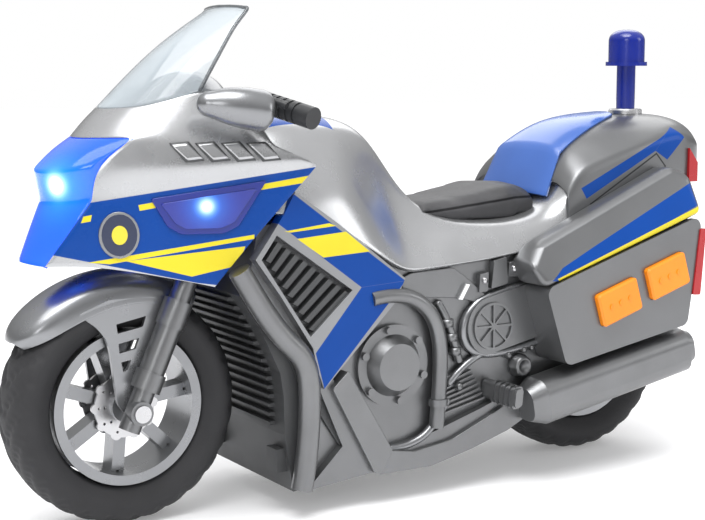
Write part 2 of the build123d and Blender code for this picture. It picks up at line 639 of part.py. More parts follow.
# ---- side panels with their vent windows ------------------------------------------------------------
PANEL_THICKNESS = 4.0
panel_outline = [(-56.0, 84.5), (-51.0, 91.5), (-47.5, 97.5), (-33.0, 87.5), (-9.5, 69.6), (-13.0, 62.5),
                 (-38.0, 38.5), (-40.2, 44.5), (-41.8, 51.2), (-52.5, 67.5), (-60.5, 78.5)]
vent_window = [(-53.6, 85.2), (-58.6, 78.4), (-42.6, 54.6), (-28.2, 67.4)]
LOUVRES = 9
with BuildPart() as side_panel_left:
    add(slab(panel_outline, BODY_HALF_WIDTH, BODY_HALF_WIDTH + PANEL_THICKNESS))
    add(slab(vent_window, BODY_HALF_WIDTH, BODY_HALF_WIDTH + PANEL_THICKNESS), mode=Mode.SUBTRACT)
    for part in (crash_bar, coolant_hoses.part, engine_covers.part, chassis_left.part):
        add(part, mode=Mode.SUBTRACT)
side_panel_right = mirror(side_panel_left.part, about=Plane.YZ)

with BuildPart() as vent_louvres:
    add(slab(vent_window, BODY_HALF_WIDTH, BODY_HALF_WIDTH + 0.8))
    for number in range(LOUVRES):
        part_way = (number + 0.6) / LOUVRES
        upper = between(vent_window[0], vent_window[3], part_way)
        lower = between(vent_window[1], vent_window[2], part_way)
        rib = [(upper[0] - 1.0, upper[1] - 0.9), (upper[0] + 0.5, upper[1] - 1.9),
               (lower[0] + 2.2, lower[1] + 0.4), (lower[0] + 0.7, lower[1] + 1.2)]
        add(slab(rib, BODY_HALF_WIDTH + 0.8, BODY_HALF_WIDTH + 3.2))
    add(crash_bar, mode=Mode.SUBTRACT)
    add(side_panel_left.part, mode=Mode.SUBTRACT)
    mirror(about=Plane.YZ)

# ---- tank, seat deck and seat -------------------------------------------------------------------------
tank_sections = {
    -56.0: [(0, 97.0), (9.0, 96.8), (15.0, 96.0), (25.8, 92.0), (25.8, 88.1), (0, 88.1)],
    -48.0: [(0, 118.0), (9.5, 117.6), (15.0, 115.2), (25.8, 97.0), (25.8, 88.1), (0, 88.1)],
    -28.0: [(0, 118.2), (9.5, 117.6), (14.2, 115.4), (25.8, 94.0), (25.8, 83.6), (0, 83.6)],
    -12.0: [(0, 115.0), (8.0, 114.0), (12.0, 108.0), (24.0, 84.0), (25.0, 76.3), (0, 76.3)],
    2.8: [(0, 98.0), (6.0, 97.0), (9.0, 94.0), (17.0, 82.0), (19.0, 76.0), (0, 76.0)],
}
tank_hollow = {y + shift: [(max(x - 2.2, 0) if x else 0, z - 2.2 if row < 4 else z - 1.0)
                           for row, (x, z) in enumerate(half)]
               for (y, half), shift in zip(tank_sections.items(), (-0.5, 0, 0, 0, -2.2))}
STRIPE_HALF_WIDTH = 5.6
STRIPE_DEPTH = 1.0
stripe_top = [(-47.5, 119.5), (-28.0, 120.0), (-12.0, 117.0), (-6.0, 112.0), (-7.2, 108.4), (-13.2, 113.4),
              (-28.0, 117.2), (-47.5, 117.0)]
with BuildPart() as tank_blank:
    add(cross_loft(tank_sections))
    add(cross_loft(tank_hollow), mode=Mode.SUBTRACT)

with BuildPart() as tank_stripe:
    add(tank_blank.part)
    add(slab(stripe_top, -STRIPE_HALF_WIDTH, STRIPE_HALF_WIDTH), mode=Mode.INTERSECT)

with BuildPart() as tank_shell:
    add(tank_blank.part)
    add(tank_stripe.part, mode=Mode.SUBTRACT)
    add(side_panel_left.part, mode=Mode.SUBTRACT)
    add(side_panel_right, mode=Mode.SUBTRACT)

deck_sections = {
    2.9: [(0, 91.0), (10.0, 89.5), (18.0, 82.0), (25.5, 76.5), (25.9, 73.0), (0, 73.0)],
    9.0: [(0, 85.5), (13.0, 85.0), (20.0, 81.5), (25.9, 76.0), (25.9, 74.2), (0, 74.2)],
    30.0: [(0, 85.0), (15.0, 84.5), (23.0, 82.0), (25.9, 77.0), (25.9, 75.0), (0, 75.0)],
    50.0: [(0, 87.0), (15.0, 86.5), (24.0, 85.0), (26.0, 80.0), (26.0, 77.3), (0, 77.3)],
    58.0: [(0, 94.0), (15.0, 94.0), (24.0, 90.0), (26.0, 84.0), (26.0, 78.0), (0, 78.0)],
}
deck_hollow = {y: [(x - 2.5 if x else 0, z - 2.4 if row < 4 else z - 1.0) for row, (x, z) in enumerate(half)]
               for y, half in deck_sections.items() if 5.0 < y < 55.0}
seat_sections = {
    6.0: [(0, 89.5), (11.0, 89.2), (14.5, 88.0), (14.5, 86.6), (0, 86.8)],
    20.0: [(0, 90.4), (13.0, 90.0), (17.5, 88.0), (17.5, 83.8), (0, 84.6)],
    40.0: [(0, 94.0), (13.5, 93.5), (18.0, 91.0), (18.0, 84.2), (0, 86.0)],
    51.5: [(0, 94.0), (12.0, 93.2), (16.5, 90.6), (16.5, 86.0), (0, 87.6)],
}
with BuildPart() as seat:
    add(cross_loft(seat_sections))

with BuildPart() as seat_deck:
    add(cross_loft(deck_sections))
    add(cross_loft(deck_hollow), mode=Mode.SUBTRACT)
    add(seat.part, mode=Mode.SUBTRACT)
    add(tank_blank.part, mode=Mode.SUBTRACT)
    add(slab([(-20, 72.0), (2.0, 72.6), (34.0, 73.5), (50.0, 77.0), (60.0, 77.2), (60, 70), (-20, 60)], -27, 27),
        mode=Mode.SUBTRACT)

# ---- tail box, its window, lamps and the beacon -----------------------------------------------------------
BEACON_Y = 103.0
TAIL_TOP = 116.6
tail_sections = {
    58.2: [(0, 103.0), (13.0, 103.0), (17.0, 101.0), (26.0, 96.5), (26.0, 78.8), (0, 78.8)],
    62.5: [(0, 108.5), (13.0, 108.3), (16.6, 106.8), (26.0, 99.5), (26.0, 78.8), (0, 78.8)],
    73.5: [(0, 114.6), (10.0, 114.2), (15.0, 111.6), (26.0, 102.6), (26.0, 80.2), (0, 80.2)],
    104.0: [(0, TAIL_TOP), (12.0, TAIL_TOP), (20.0, 114.6), (26.0, 108.6), (26.0, 80.2), (0, 80.2)],
    116.0: [(0, 115.6), (11.0, 115.2), (17.0, 112.6), (20.6, 107.0), (20.6, 84.0), (0, 84.0)],
    122.0: [(0, 111.0), (8.0, 110.6), (10.0, 109.0), (10.6, 105.0), (10.6, 88.0), (0, 88.0)],
}
tail_hollow = {y: [(x - 2.2 if x else 0, z - 2.2 if row < 4 else z - 3.0) for row, (x, z) in enumerate(half)]
               for y, half in tail_sections.items() if 60.0 < y < 119.0}
window_cut = [(56.0, 90.0), (59.5, 90.0), (64.8, 103.5), (75.0, 109.6), (96.0, 112.6), (96.0, 119.0),
              (70.0, 119.0), (56.0, 108.0)]
tail_solid = cross_loft(tail_sections)
with BuildPart() as tail_blank:
    add(tail_solid)
    add(cross_loft(tail_hollow), mode=Mode.SUBTRACT)

with BuildPart() as window_wedge:
    with BuildSketch(Plane.XY.offset(85)):
        Polygon((-14.6, 56.0), (14.6, 56.0), (15.0, 70.0), (8.0, 96.0), (-8.0, 96.0), (-15.0, 70.0),
                align=None)
    extrude(amount=40)
    add(slab(window_cut, -20, 20), mode=Mode.INTERSECT)

with BuildPart() as tail_window:
    add(tail_blank.part)
    add(window_wedge.part, mode=Mode.INTERSECT)

tail_corner_lamp = [(108.6, 105.5), (112.5, 100.5), (112.5, 94.0), (108.6, 94.0)]
pannier_corner_lamp = [(97.9, 57.5), (100.6, 79.4), (103.1, 79.6), (101.2, 57.3)]
with BuildPart() as tail_lamps:
    with BuildSketch(Plane.XZ.offset(-122.0)):
        with Locations((0, 100.0)):
            RectangleRounded(18.0, 8.0, 2.0)
    extrude(amount=-4.0)
    add(slab(tail_corner_lamp, 18.0, 27.0))
    add(slab(tail_corner_lamp, -27.0, -18.0))
    add(tail_solid, mode=Mode.SUBTRACT)
    add(slab(pannier_corner_lamp, PANNIER_OUTER - 5.0, PANNIER_OUTER + 0.6, corner=0.6))
    add(slab(pannier_corner_lamp, -PANNIER_OUTER + 5.0, -PANNIER_OUTER - 0.6, corner=0.6))

with BuildPart() as tail_box:
    add(tail_blank.part)
    add(window_wedge.part, mode=Mode.SUBTRACT)
    add(seat_deck.part, mode=Mode.SUBTRACT)
    with Locations((0, BEACON_Y, TAIL_TOP - 6)):
        Cylinder(2.6, 20, mode=Mode.SUBTRACT)

with BuildPart() as beacon_ring:
    with BuildSketch(Plane.XY.offset(TAIL_TOP)):
        with Locations((0, BEACON_Y)):
            Circle(5.9)
            Circle(3.3, mode=Mode.SUBTRACT)
    extrude(amount=1.8)
    chamfer(beacon_ring.edges().group_by(Axis.Z)[-1], 0.5)

with BuildPart() as beacon:
    with BuildSketch(Plane.YZ) as beacon_profile:
        with BuildLine():
            dome_base, dome_top, dome_radius = 134.0, 146.0, 6.3
            Polyline((BEACON_Y, 112.5), (BEACON_Y + 2.5, 112.5), (BEACON_Y + 2.5, 118.4),
                     (BEACON_Y + 3.25, 118.4), (BEACON_Y + 3.25, dome_base - 0.6),
                     (BEACON_Y + 7.2, dome_base - 0.6), (BEACON_Y + 7.2, dome_base + 0.8),
                     (BEACON_Y + dome_radius, dome_base + 0.8), (BEACON_Y + dome_radius, dome_top - 4.0))
            Spline((BEACON_Y + dome_radius, dome_top - 4.0), (BEACON_Y + dome_radius * 0.76, dome_top - 1.1),
                   (BEACON_Y, dome_top), tangents=((0, 1), (-1, 0)))
            Line((BEACON_Y, dome_top), (BEACON_Y, 112.5))
        make_face()
    revolve(axis=Axis((0, BEACON_Y, 0), (0, 0, 1)))

# ---- panniers, buttons and electronics -------------------------------------------------------------------
box_outline = [(44.8, 38.6), (36.3, 64.0), (101.8, 84.3), (96.3, 47.6)]
box_hollow = [(46.6, 41.2), (38.8, 67.0), (100.4, 86.6), (95.0, 49.6)]
lid_outline = [(35.4, 64.0), (31.6, 72.6), (36.4, 76.6), (93.8, 100.2), (98.8, 97.4), (102.2, 84.7)]
PANNIER_WALL = 1.8
BUTTON_TILT = 17.5
BUTTON_SLANT = (cos(radians(BUTTON_TILT)), sin(radians(BUTTON_TILT)))
BUTTON_SIZE = (17.0, 11.0)
BUTTON_CENTRES = ((65.3, 57.8), (86.0, 64.8))
BUTTON_FACE = 43.0
BUTTON_GAP = 0.15
SPEAKER_CENTRE = (69.5, 62.0)


def button_block(centre, x_from, x_to, grow=0.0):
    """A rounded block at a button's place on the pannier's outer face."""
    with BuildPart() as piece:
        with BuildSketch(Plane.YZ.offset(x_from)):
            with Locations(centre):
                RectangleRounded(BUTTON_SIZE[0] + 2 * grow, BUTTON_SIZE[1] + 2 * grow, 1.2, rotation=BUTTON_TILT)
        extrude(amount=x_to - x_from)
    return piece.part


with BuildPart() as pannier_blank:
    add(slab(box_outline, PANNIER_INNER, PANNIER_OUTER, corner=3.0))
    add(slab(box_hollow, PANNIER_INNER + PANNIER_WALL, PANNIER_OUTER - PANNIER_WALL), mode=Mode.SUBTRACT)
    add(tail_lamps.part, mode=Mode.SUBTRACT)
    add(mufflers.part, mode=Mode.SUBTRACT)
    add(belt_covers.part, mode=Mode.SUBTRACT)

with BuildPart() as pannier_box_left:
    add(pannier_blank.part)
    for centre in BUTTON_CENTRES:
        add(button_block(centre, 38.0, 42.0, grow=BUTTON_GAP), mode=Mode.SUBTRACT)

with BuildPart() as pannier_box_right:
    add(mirror(pannier_blank.part, about=Plane.YZ))
    add(axle_pin(*SPEAKER_CENTRE, 9.0, -PANNIER_OUTER, -PANNIER_OUTER + 1.0), mode=Mode.SUBTRACT)
    with BuildSketch(Plane.YZ.offset(-PANNIER_OUTER)):
        with Locations(SPEAKER_CENTRE):
            Circle(0.8)
            for hole_ring, hole_count in ((2.8, 6), (5.4, 12), (7.8, 18)):
                with PolarLocations(hole_ring, hole_count):
                    Circle(0.7)
    extrude(amount=PANNIER_WALL + 0.1, mode=Mode.SUBTRACT)

with BuildPart() as pannier_lid_left:
    add(slab(lid_outline, PANNIER_INNER, PANNIER_OUTER, corner=2.0))
    inner_lid = [(38.2, 62.0), (36.6, 73.6), (93.0, 97.6), (97.0, 95.4), (100.2, 81.0)]
    add(slab(inner_lid, PANNIER_INNER + PANNIER_WALL, PANNIER_OUTER - PANNIER_WALL), mode=Mode.SUBTRACT)
    add(belt_covers.part, mode=Mode.SUBTRACT)
    add(tail_lamps.part, mode=Mode.SUBTRACT)
pannier_lid_right = mirror(pannier_lid_left.part, about=Plane.YZ)


def sound_button(centre):
    """Push button with a rim inside the pannier wall and three raised arcs on its face."""
    with BuildPart() as piece:
        add(button_block(centre, 37.4, BUTTON_FACE))
        chamfer(piece.edges().group_by(Axis.X)[-1], 0.6)
        add(button_block(centre, 36.6, 37.6, grow=0.6))
        for place in (-4.0, 0.0, 4.0):
            spot = (centre[0] + place * BUTTON_SLANT[0], centre[1] + place * BUTTON_SLANT[1])
            with BuildSketch(Plane.YZ.offset(BUTTON_FACE)):
                with Locations(spot):
                    Circle(0.9)
                    with Locations((0.5, 0)):
                        Circle(0.8, mode=Mode.SUBTRACT)
            extrude(amount=0.3)
    return piece.part


sound_button_front = sound_button(BUTTON_CENTRES[0])
sound_button_rear = sound_button(BUTTON_CENTRES[1])

with BuildPart() as circuit_board:
    board = [(50.0, 44.0), (43.2, 62.0), (96.6, 78.0), (93.4, 53.0)]
    add(slab(board, 29.6, 31.0))
    for centre in BUTTON_CENTRES:
        add(axle_pin(*centre, 3.2, 31.0, 34.2))
        add(axle_pin(*centre, 1.6, 34.2, 34.8))
    add(slab([(73.0, 58.0), (73.0, 63.0), (78.0, 63.0), (78.0, 58.0)], 31.0, 32.4))
    for y, z in ((53.0, 48.0), (91.0, 55.5)):
        add(axle_pin(y, z, 1.6, PANNIER_INNER + PANNIER_WALL, 29.6))

with BuildPart() as loudspeaker:
    with BuildSketch(Plane.YZ.offset(-PANNIER_OUTER + PANNIER_WALL)):
        with Locations(SPEAKER_CENTRE):
            Circle(10.5)
    extrude(amount=2.0)
    with BuildSketch(Plane.YZ.offset(-PANNIER_OUTER + PANNIER_WALL + 2.0)):
        with Locations(SPEAKER_CENTRE):
            Circle(5.5)
    extrude(amount=3.4)

# ---- front fairing, lamps, windscreen and instrument panel -----------------------------------------------
fairing_plan = {
    68.0: [(0, -116.0), (11.0, -116.0), (35.4, -42.0), (0, -42.0)],
    97.0: [(0, -116.0), (11.0, -116.0), (35.4, -42.0), (0, -42.0)],
    104.0: [(0, -113.5), (11.5, -111.5), (35.0, -43.0), (0, -43.0)],
    112.0: [(0, -104.0), (12.0, -101.5), (30.0, -52.0), (0, -52.0)],
    122.0: [(0, -95.5), (8.0, -93.5), (17.0, -64.0), (0, -64.0)],
}
FAIRING_WALL = 2.2
fairing_inner = {}
for height, half in fairing_plan.items():
    (nose_x, nose_y), (cheek_x, cheek_y), (rear_x, rear_y), _ = half
    level = height - (FAIRING_WALL if height > 120 else 0) - (0 if height > 80 else 2)
    fairing_inner[level] = [(0, nose_y + FAIRING_WALL), (cheek_x - 1.6, cheek_y + FAIRING_WALL),
                            (rear_x - 2.2, rear_y + 3.0), (0, rear_y + 3.0)]
fairing_side = [(-121.0, 79.5), (-112.0, 78.6), (-102.0, 77.8), (-90.0, 75.4), (-78.0, 72.7), (-71.4, 71.1),
                (-68.0, 75.8), (-55.0, 91.0), (-44.0, 104.4), (-43.0, 106.0), (-58.5, 123.0), (-121.0, 123.0)]
lens_side = [(-122.0, 76.0), (-115.8, 76.0), (-104.0, 96.3), (-103.2, 105.4), (-92.0, 113.2), (-122.0, 113.8)]
side_lamp = [(-85.7, 94.9), (-60.1, 98.8), (-68.4, 87.8), (-80.1, 88.1)]
with BuildPart() as fairing_blank:
    add(plan_loft(fairing_plan))
    add(plan_loft(fairing_inner), mode=Mode.SUBTRACT)
    add(slab(fairing_side, -40, 40), mode=Mode.INTERSECT)

with BuildPart() as headlight_lens:
    add(fairing_blank.part)
    add(slab(lens_side, -30, 30), mode=Mode.INTERSECT)

with BuildPart() as side_lamps:
    add(fairing_blank.part)
    add(slab(side_lamp, 10, 40), mode=Mode.INTERSECT)
    mirror(about=Plane.YZ)

with BuildPart() as fairing_whole:
    add(fairing_blank.part)
    add(slab(lens_side, -30, 30), mode=Mode.SUBTRACT)
    add(slab(side_lamp, -40, 40), mode=Mode.SUBTRACT)
    vent_plane = Plane(origin=(24.5, -70.0, 108.5), x_dir=(0.28, 0.96, 0), z_dir=(0.62, -0.22, 0.75))
    for side in (1, -1):
        for number in range(3):
            with BuildSketch(vent_plane.offset(-1.2) if side > 0 else
                             Plane(origin=(-24.5, -70.0, 108.5), x_dir=(-0.28, 0.96, 0),
                                   z_dir=(-0.62, -0.22, 0.75)).offset(-1.2)):
                with Locations((-7.0 + 7.0 * number, 0)):
                    Rectangle(4.0, 3.6)
            extrude(amount=6, mode=Mode.SUBTRACT)

with BuildPart() as fairing_left:
    add(fairing_whole.part)
    split(bisect_by=Plane.YZ, keep=Keep.TOP)

with BuildPart() as fairing_right:
    add(fairing_whole.part)
    split(bisect_by=Plane.YZ, keep=Keep.BOTTOM)

with BuildPart() as led_lamps:
    for x, y, z in ((0, -104.5, 101.5), (18.4, -76.0, 93.0), (-18.4, -76.0, 93.0)):
        with Locations((x, y, z)):
            Sphere(2.0)
            Box(1.2, 5.0, 1.2, align=(Align.CENTER, Align.MIN, Align.CENTER))

SCREEN_THICKNESS = 1.2
screen_sections = {                     # height: (middle y, side x, side y)
    121.4: (-94.6, 14.5, -87.5),
    131.0: (-85.2, 17.5, -75.0),
    141.0: (-73.0, 16.5, -65.0),
    151.4: (-55.5, 12.5, -51.5),
}
with BuildPart() as windscreen:
    for height, (middle_y, side_x, side_y) in screen_sections.items():
        with BuildSketch(Plane.XY.offset(height)):
            with BuildLine():
                inside = SCREEN_THICKNESS * 1.3
                ThreePointArc((-side_x, side_y), (0, middle_y), (side_x, side_y))
                Line((side_x, side_y), (side_x - 0.9, side_y + inside * 0.9))
                ThreePointArc((side_x - 0.9, side_y + inside * 0.9), (0, middle_y + inside),
                              (-side_x + 0.9, side_y + inside * 0.9))
                Line((-side_x + 0.9, side_y + inside * 0.9), (-side_x, side_y))
            make_face()
    loft()
    add(fairing_blank.part, mode=Mode.SUBTRACT)

with BuildPart() as instrument_panel:
    add(slab([(-84.0, 122.0), (-76.8, 127.8), (-71.1, 130.6), (-64.0, 130.6), (-63.0, 122.0)], -11.0, 11.0))
    add(windscreen.part, mode=Mode.SUBTRACT)

with BuildPart() as steering_head:
    add(fork_tube(0, 6.2, HEAD_START, HEAD_END))
    add(slab([(-57.4, 88.0), (-46.5, 88.0), (-49.0, 98.0), (-56.0, 106.0), (-64.0, 98.0)], -6.0, 6.0))
    add(slab([(-66.0, 97.6), (-60.0, 97.6), (-60.0, 101.6), (-66.0, 101.6)], -25.9, 25.9))
    add(fork_tube(0, STEM_RADIUS + 0.08, HEAD_START - 5, HEAD_END + 8), mode=Mode.SUBTRACT)
    for part in (chassis_left.part, chassis_right.part, tank_blank.part, fairing_blank.part):
        add(part, mode=Mode.SUBTRACT)

# ---- one STEP file per piece --------------------------------------------------------------------------
pieces = {
    "front_tyre": front_tyre, "front_rim": front_rim, "front_brake_discs": front_brake_discs,
    "front_axle": front_axle.part,
    "fork_leg_left": fork_leg_left.part, "fork_leg_right": fork_leg_right, "fork_yoke": fork_yoke.part,
    "front_mudguard": front_mudguard.part, "handlebar": handlebar.part,
    "handlebar_grips": handlebar_grips.part, "brake_levers": brake_levers.part,
    "hand_guards": hand_guards.part, "steering_head": steering_head.part,
    "rear_tyre": rear_tyre, "rear_rim": rear_rim, "rear_axle": rear_axle,
    "axle_pinion": axle_pinion.part, "idler_gear": idler_gear.part, "spring_barrel": spring_barrel.part,
    "mainspring": mainspring.part, "motor_case": motor_case.part,
    "chassis_left": chassis_left.part, "chassis_right": chassis_right.part, "body_screws": body_screws.part,
    "battery_door": battery_door.part,
    "battery_cells": battery_cells.part, "radiator_grille": radiator_grille.part,
    "crash_bars": crash_bars.part, "engine_covers": engine_covers.part,
    "coolant_hoses": coolant_hoses.part, "belt_covers": belt_covers.part, "footpegs": footpegs.part,
    "mufflers": mufflers.part, "side_panel_left": side_panel_left.part, "side_panel_right": side_panel_right,
    "vent_louvres": vent_louvres.part, "tank_shell": tank_shell.part, "tank_stripe": tank_stripe.part,
    "seat_deck": seat_deck.part, "seat": seat.part, "tail_box": tail_box.part,
    "tail_window": tail_window.part, "tail_lamps": tail_lamps.part, "beacon_ring": beacon_ring.part,
    "beacon": beacon.part, "pannier_box_left": pannier_box_left.part,
    "pannier_box_right": pannier_box_right.part, "pannier_lid_left": pannier_lid_left.part,
    "pannier_lid_right": pannier_lid_right,
    "sound_button_front": sound_button_front, "sound_button_rear": sound_button_rear,
    "circuit_board": circuit_board.part, "loudspeaker": loudspeaker.part,
    "fairing_left": fairing_left.part, "fairing_right": fairing_right.part,
    "headlight_lens": headlight_lens.part, "side_lamps": side_lamps.part, "led_lamps": led_lamps.part,
    "windscreen": windscreen.part, "instrument_panel": instrument_panel.part,
}
for name, part in pieces.items():
    save(part, name)
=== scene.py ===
import json
from math import atan2, cos, pi, radians, sin, sqrt

import bpy
from mathutils import Matrix, Vector


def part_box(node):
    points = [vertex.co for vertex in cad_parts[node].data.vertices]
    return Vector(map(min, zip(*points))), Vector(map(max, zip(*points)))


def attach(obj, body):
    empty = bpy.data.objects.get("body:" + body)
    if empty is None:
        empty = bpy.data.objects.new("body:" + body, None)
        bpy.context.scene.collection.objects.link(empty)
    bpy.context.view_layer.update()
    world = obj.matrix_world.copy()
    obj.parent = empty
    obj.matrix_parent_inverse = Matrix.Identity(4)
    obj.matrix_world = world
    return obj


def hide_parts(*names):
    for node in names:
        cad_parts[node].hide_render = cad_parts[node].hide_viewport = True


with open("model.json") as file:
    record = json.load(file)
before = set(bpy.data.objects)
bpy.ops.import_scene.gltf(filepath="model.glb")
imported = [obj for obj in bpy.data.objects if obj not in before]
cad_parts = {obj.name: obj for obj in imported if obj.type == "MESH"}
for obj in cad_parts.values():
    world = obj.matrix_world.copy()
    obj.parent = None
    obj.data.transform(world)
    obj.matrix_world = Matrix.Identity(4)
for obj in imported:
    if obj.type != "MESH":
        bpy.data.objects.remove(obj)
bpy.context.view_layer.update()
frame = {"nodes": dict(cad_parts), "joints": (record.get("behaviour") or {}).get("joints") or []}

# Outlines below are in millimetres in the part's own frame: front -Y, motorcycle's left +X, up +Z.
MM = 0.001
joints = {joint["name"]: joint for joint in frame["joints"]}
FRONT_AXLE = [value / MM for value in joints["front_wheel_spin"]["pos_m"]]
REAR_AXLE = [value / MM for value in joints["rear_wheel_spin"]["pos_m"]]
STEER_AXIS = Vector(joints["steer"]["axis"])
TYRE_RADIUS = (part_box("front_tyre")[1].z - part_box("front_tyre")[0].z) / 2 / MM
TYRE_HALF_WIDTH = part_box("front_tyre")[1].x / MM


# ---- mesh helpers --------------------------------------------------------------------------------
def link(name, mesh):
    obj = bpy.data.objects.new(name, mesh)
    bpy.context.scene.collection.objects.link(obj)
    return obj


def make_piece(name, verts, faces, material, body="main", replaces=(), creases=None):
    """A new piece from vertices in millimetres, riding on a body."""
    mesh = bpy.data.meshes.new(name)
    mesh.from_pydata([(x * MM, y * MM, z * MM) for x, y, z in verts], [], faces)
    mesh.polygons.foreach_set("use_smooth", [True] * len(mesh.polygons))
    if creases:
        layer = mesh.attributes.new("crease_edge", "FLOAT", "EDGE")
        weights = [creases.get(tuple(sorted(edge.vertices)), 0.0) for edge in mesh.edges]
        layer.data.foreach_set("value", weights)
    mesh.materials.append(material)
    obj = link(name, mesh)
    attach(obj, body)
    if replaces:
        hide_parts(*replaces)
    return obj


def modifier(obj, kind, **settings):
    """Add a modifier with its settings."""
    added = obj.modifiers.new(kind.lower(), kind)
    for key, value in settings.items():
        setattr(added, key, value)
    return added


def apply_modifiers(obj):
    """Replace the mesh by its modified one."""
    bpy.context.view_layer.update()
    graph = bpy.context.evaluated_depsgraph_get()
    mesh = bpy.data.meshes.new_from_object(obj.evaluated_get(graph))
    obj.modifiers.clear()
    obj.data = mesh


def subdivide(obj, levels):
    modifier(obj, "SUBSURF", levels=levels, render_levels=levels, boundary_smooth="PRESERVE_CORNERS")


def soften(obj, width, segments=2, angle=32):
    """Rounded edges, with clean shading on the flat faces."""
    modifier(obj, "BEVEL", width=width * MM, segments=segments, limit_method="ANGLE",
             angle_limit=radians(angle), harden_normals=False)
    modifier(obj, "WEIGHTED_NORMAL", keep_sharp=False, weight=60)


def cut(obj, *cutters):
    """Boolean-cut closed cutter pieces out of a piece."""
    for cutter in cutters:
        modifier(obj, "BOOLEAN", operation="DIFFERENCE", object=cutter, solver="EXACT")
    apply_modifiers(obj)
    for cutter in cutters:
        bpy.data.objects.remove(cutter)


def sym(half):
    """A row of points from the right edge over the middle to the left edge; half[0] is on the middle."""
    return [(-x, y, z) for x, y, z in reversed(half[1:])] + list(half)


def mirrored(points):
    return [(-x, y, z) for x, y, z in points]


def grid_faces(rows, columns, closed=False, flip=False):
    """Quads of a grid whose rows follow each other; closed joins each row's ends."""
    faces = []
    for i in range(rows - 1):
        for j in range(columns if closed else columns - 1):
            k = (j + 1) % columns
            quad = (i * columns + j, i * columns + k, (i + 1) * columns + k, (i + 1) * columns + j)
            faces.append(tuple(reversed(quad)) if flip else quad)
    return faces


def sheet(name, rows, material, slot, thickness=1.6, levels=3, crease_rows=None, crease_columns=None, flip=False,
          body="main", replaces=(), rim=0.35, holes=()):
    """A smooth shell through rows of points; the outside is the side the points describe."""
    columns = len(rows[0])
    verts = [point for row in rows for point in row]
    faces = [face for face in grid_faces(len(rows), columns, flip=flip)
             if (min(face) // columns, min(face) % columns) not in holes]
    creases = {}
    for i, weight in (crease_rows or {}).items():
        for j in range(columns - 1):
            creases[(i * columns + j, i * columns + j + 1)] = weight
    for j, weight in (crease_columns or {}).items():
        for i in range(len(rows) - 1):
            creases[(i * columns + j, (i + 1) * columns + j)] = weight
    obj = make_piece(name, verts, faces, material, body, replaces, creases)
    subdivide(obj, levels)
    modifier(obj, "SOLIDIFY", thickness=thickness * MM, offset=-1.0, use_even_offset=True)
    if rim:
        modifier(obj, "BEVEL", width=rim * MM, segments=2, limit_method="ANGLE", angle_limit=radians(50))
    return obj


def shell(name, patches, material, core, body="main", replaces=(), thickness=1.6, levels=2, creases=(),
          rim=0.3, both_sides=True):
    """One smooth shell from grids of points that share their borders, mirrored left to right.

    core is a point inside the object, which the inner side faces.
    """
    index, verts, faces = {}, [], []

    def number(point, sign):
        place = (point[0] * sign, point[1], point[2])
        key = tuple(round(value, 2) + 0.0 for value in place)
        if key not in index:
            index[key] = len(verts)
            verts.append(place)
        return index[key]

    sides = (1, -1) if both_sides else (1,)
    for sign in sides:
        for rows in patches:
            for upper, lower in zip(rows, rows[1:]):
                for k in range(len(upper) - 1):
                    corners = (upper[k], upper[k + 1], lower[k + 1], lower[k])
                    face = list(dict.fromkeys(number(corner, sign) for corner in corners))
                    if len(face) > 2:
                        faces.append(face[::sign])
    weights = {}
    for points, weight in creases:
        for sign in sides:
            for a, b in zip(points, points[1:]):
                weights[tuple(sorted((number(a, sign), number(b, sign))))] = weight
    obj = make_piece(name, verts, faces, material, body, replaces, weights)
    make_outward(obj)
    facing = sum(face.normal.dot(face.center - Vector(core) * MM) * face.area for face in obj.data.polygons)
    if facing < 0:
        obj.data.flip_normals()
    subdivide(obj, levels)
    modifier(obj, "SOLIDIFY", thickness=thickness * MM, offset=-1.0, use_even_offset=True, use_quality_normals=True)
    if rim:
        modifier(obj, "BEVEL", width=rim * MM, segments=2, limit_method="ANGLE", angle_limit=radians(50))
    return obj


def spline(points, steps):
    """Points along a Catmull-Rom curve through the given points."""
    vectors = [Vector(p) for p in points]
    padded = [2 * vectors[0] - vectors[1]] + vectors + [2 * vectors[-1] - vectors[-2]]
    curve = []
    for a, b, c, d in zip(padded, padded[1:], padded[2:], padded[3:]):
        for step in range(steps):
            t = step / steps
            curve.append(0.5 * (2 * b + (c - a) * t + (2 * a - 5 * b + 4 * c - d) * t * t
                                + (3 * b - a - 3 * c + d) * t ** 3))
    return curve + [vectors[-1]]


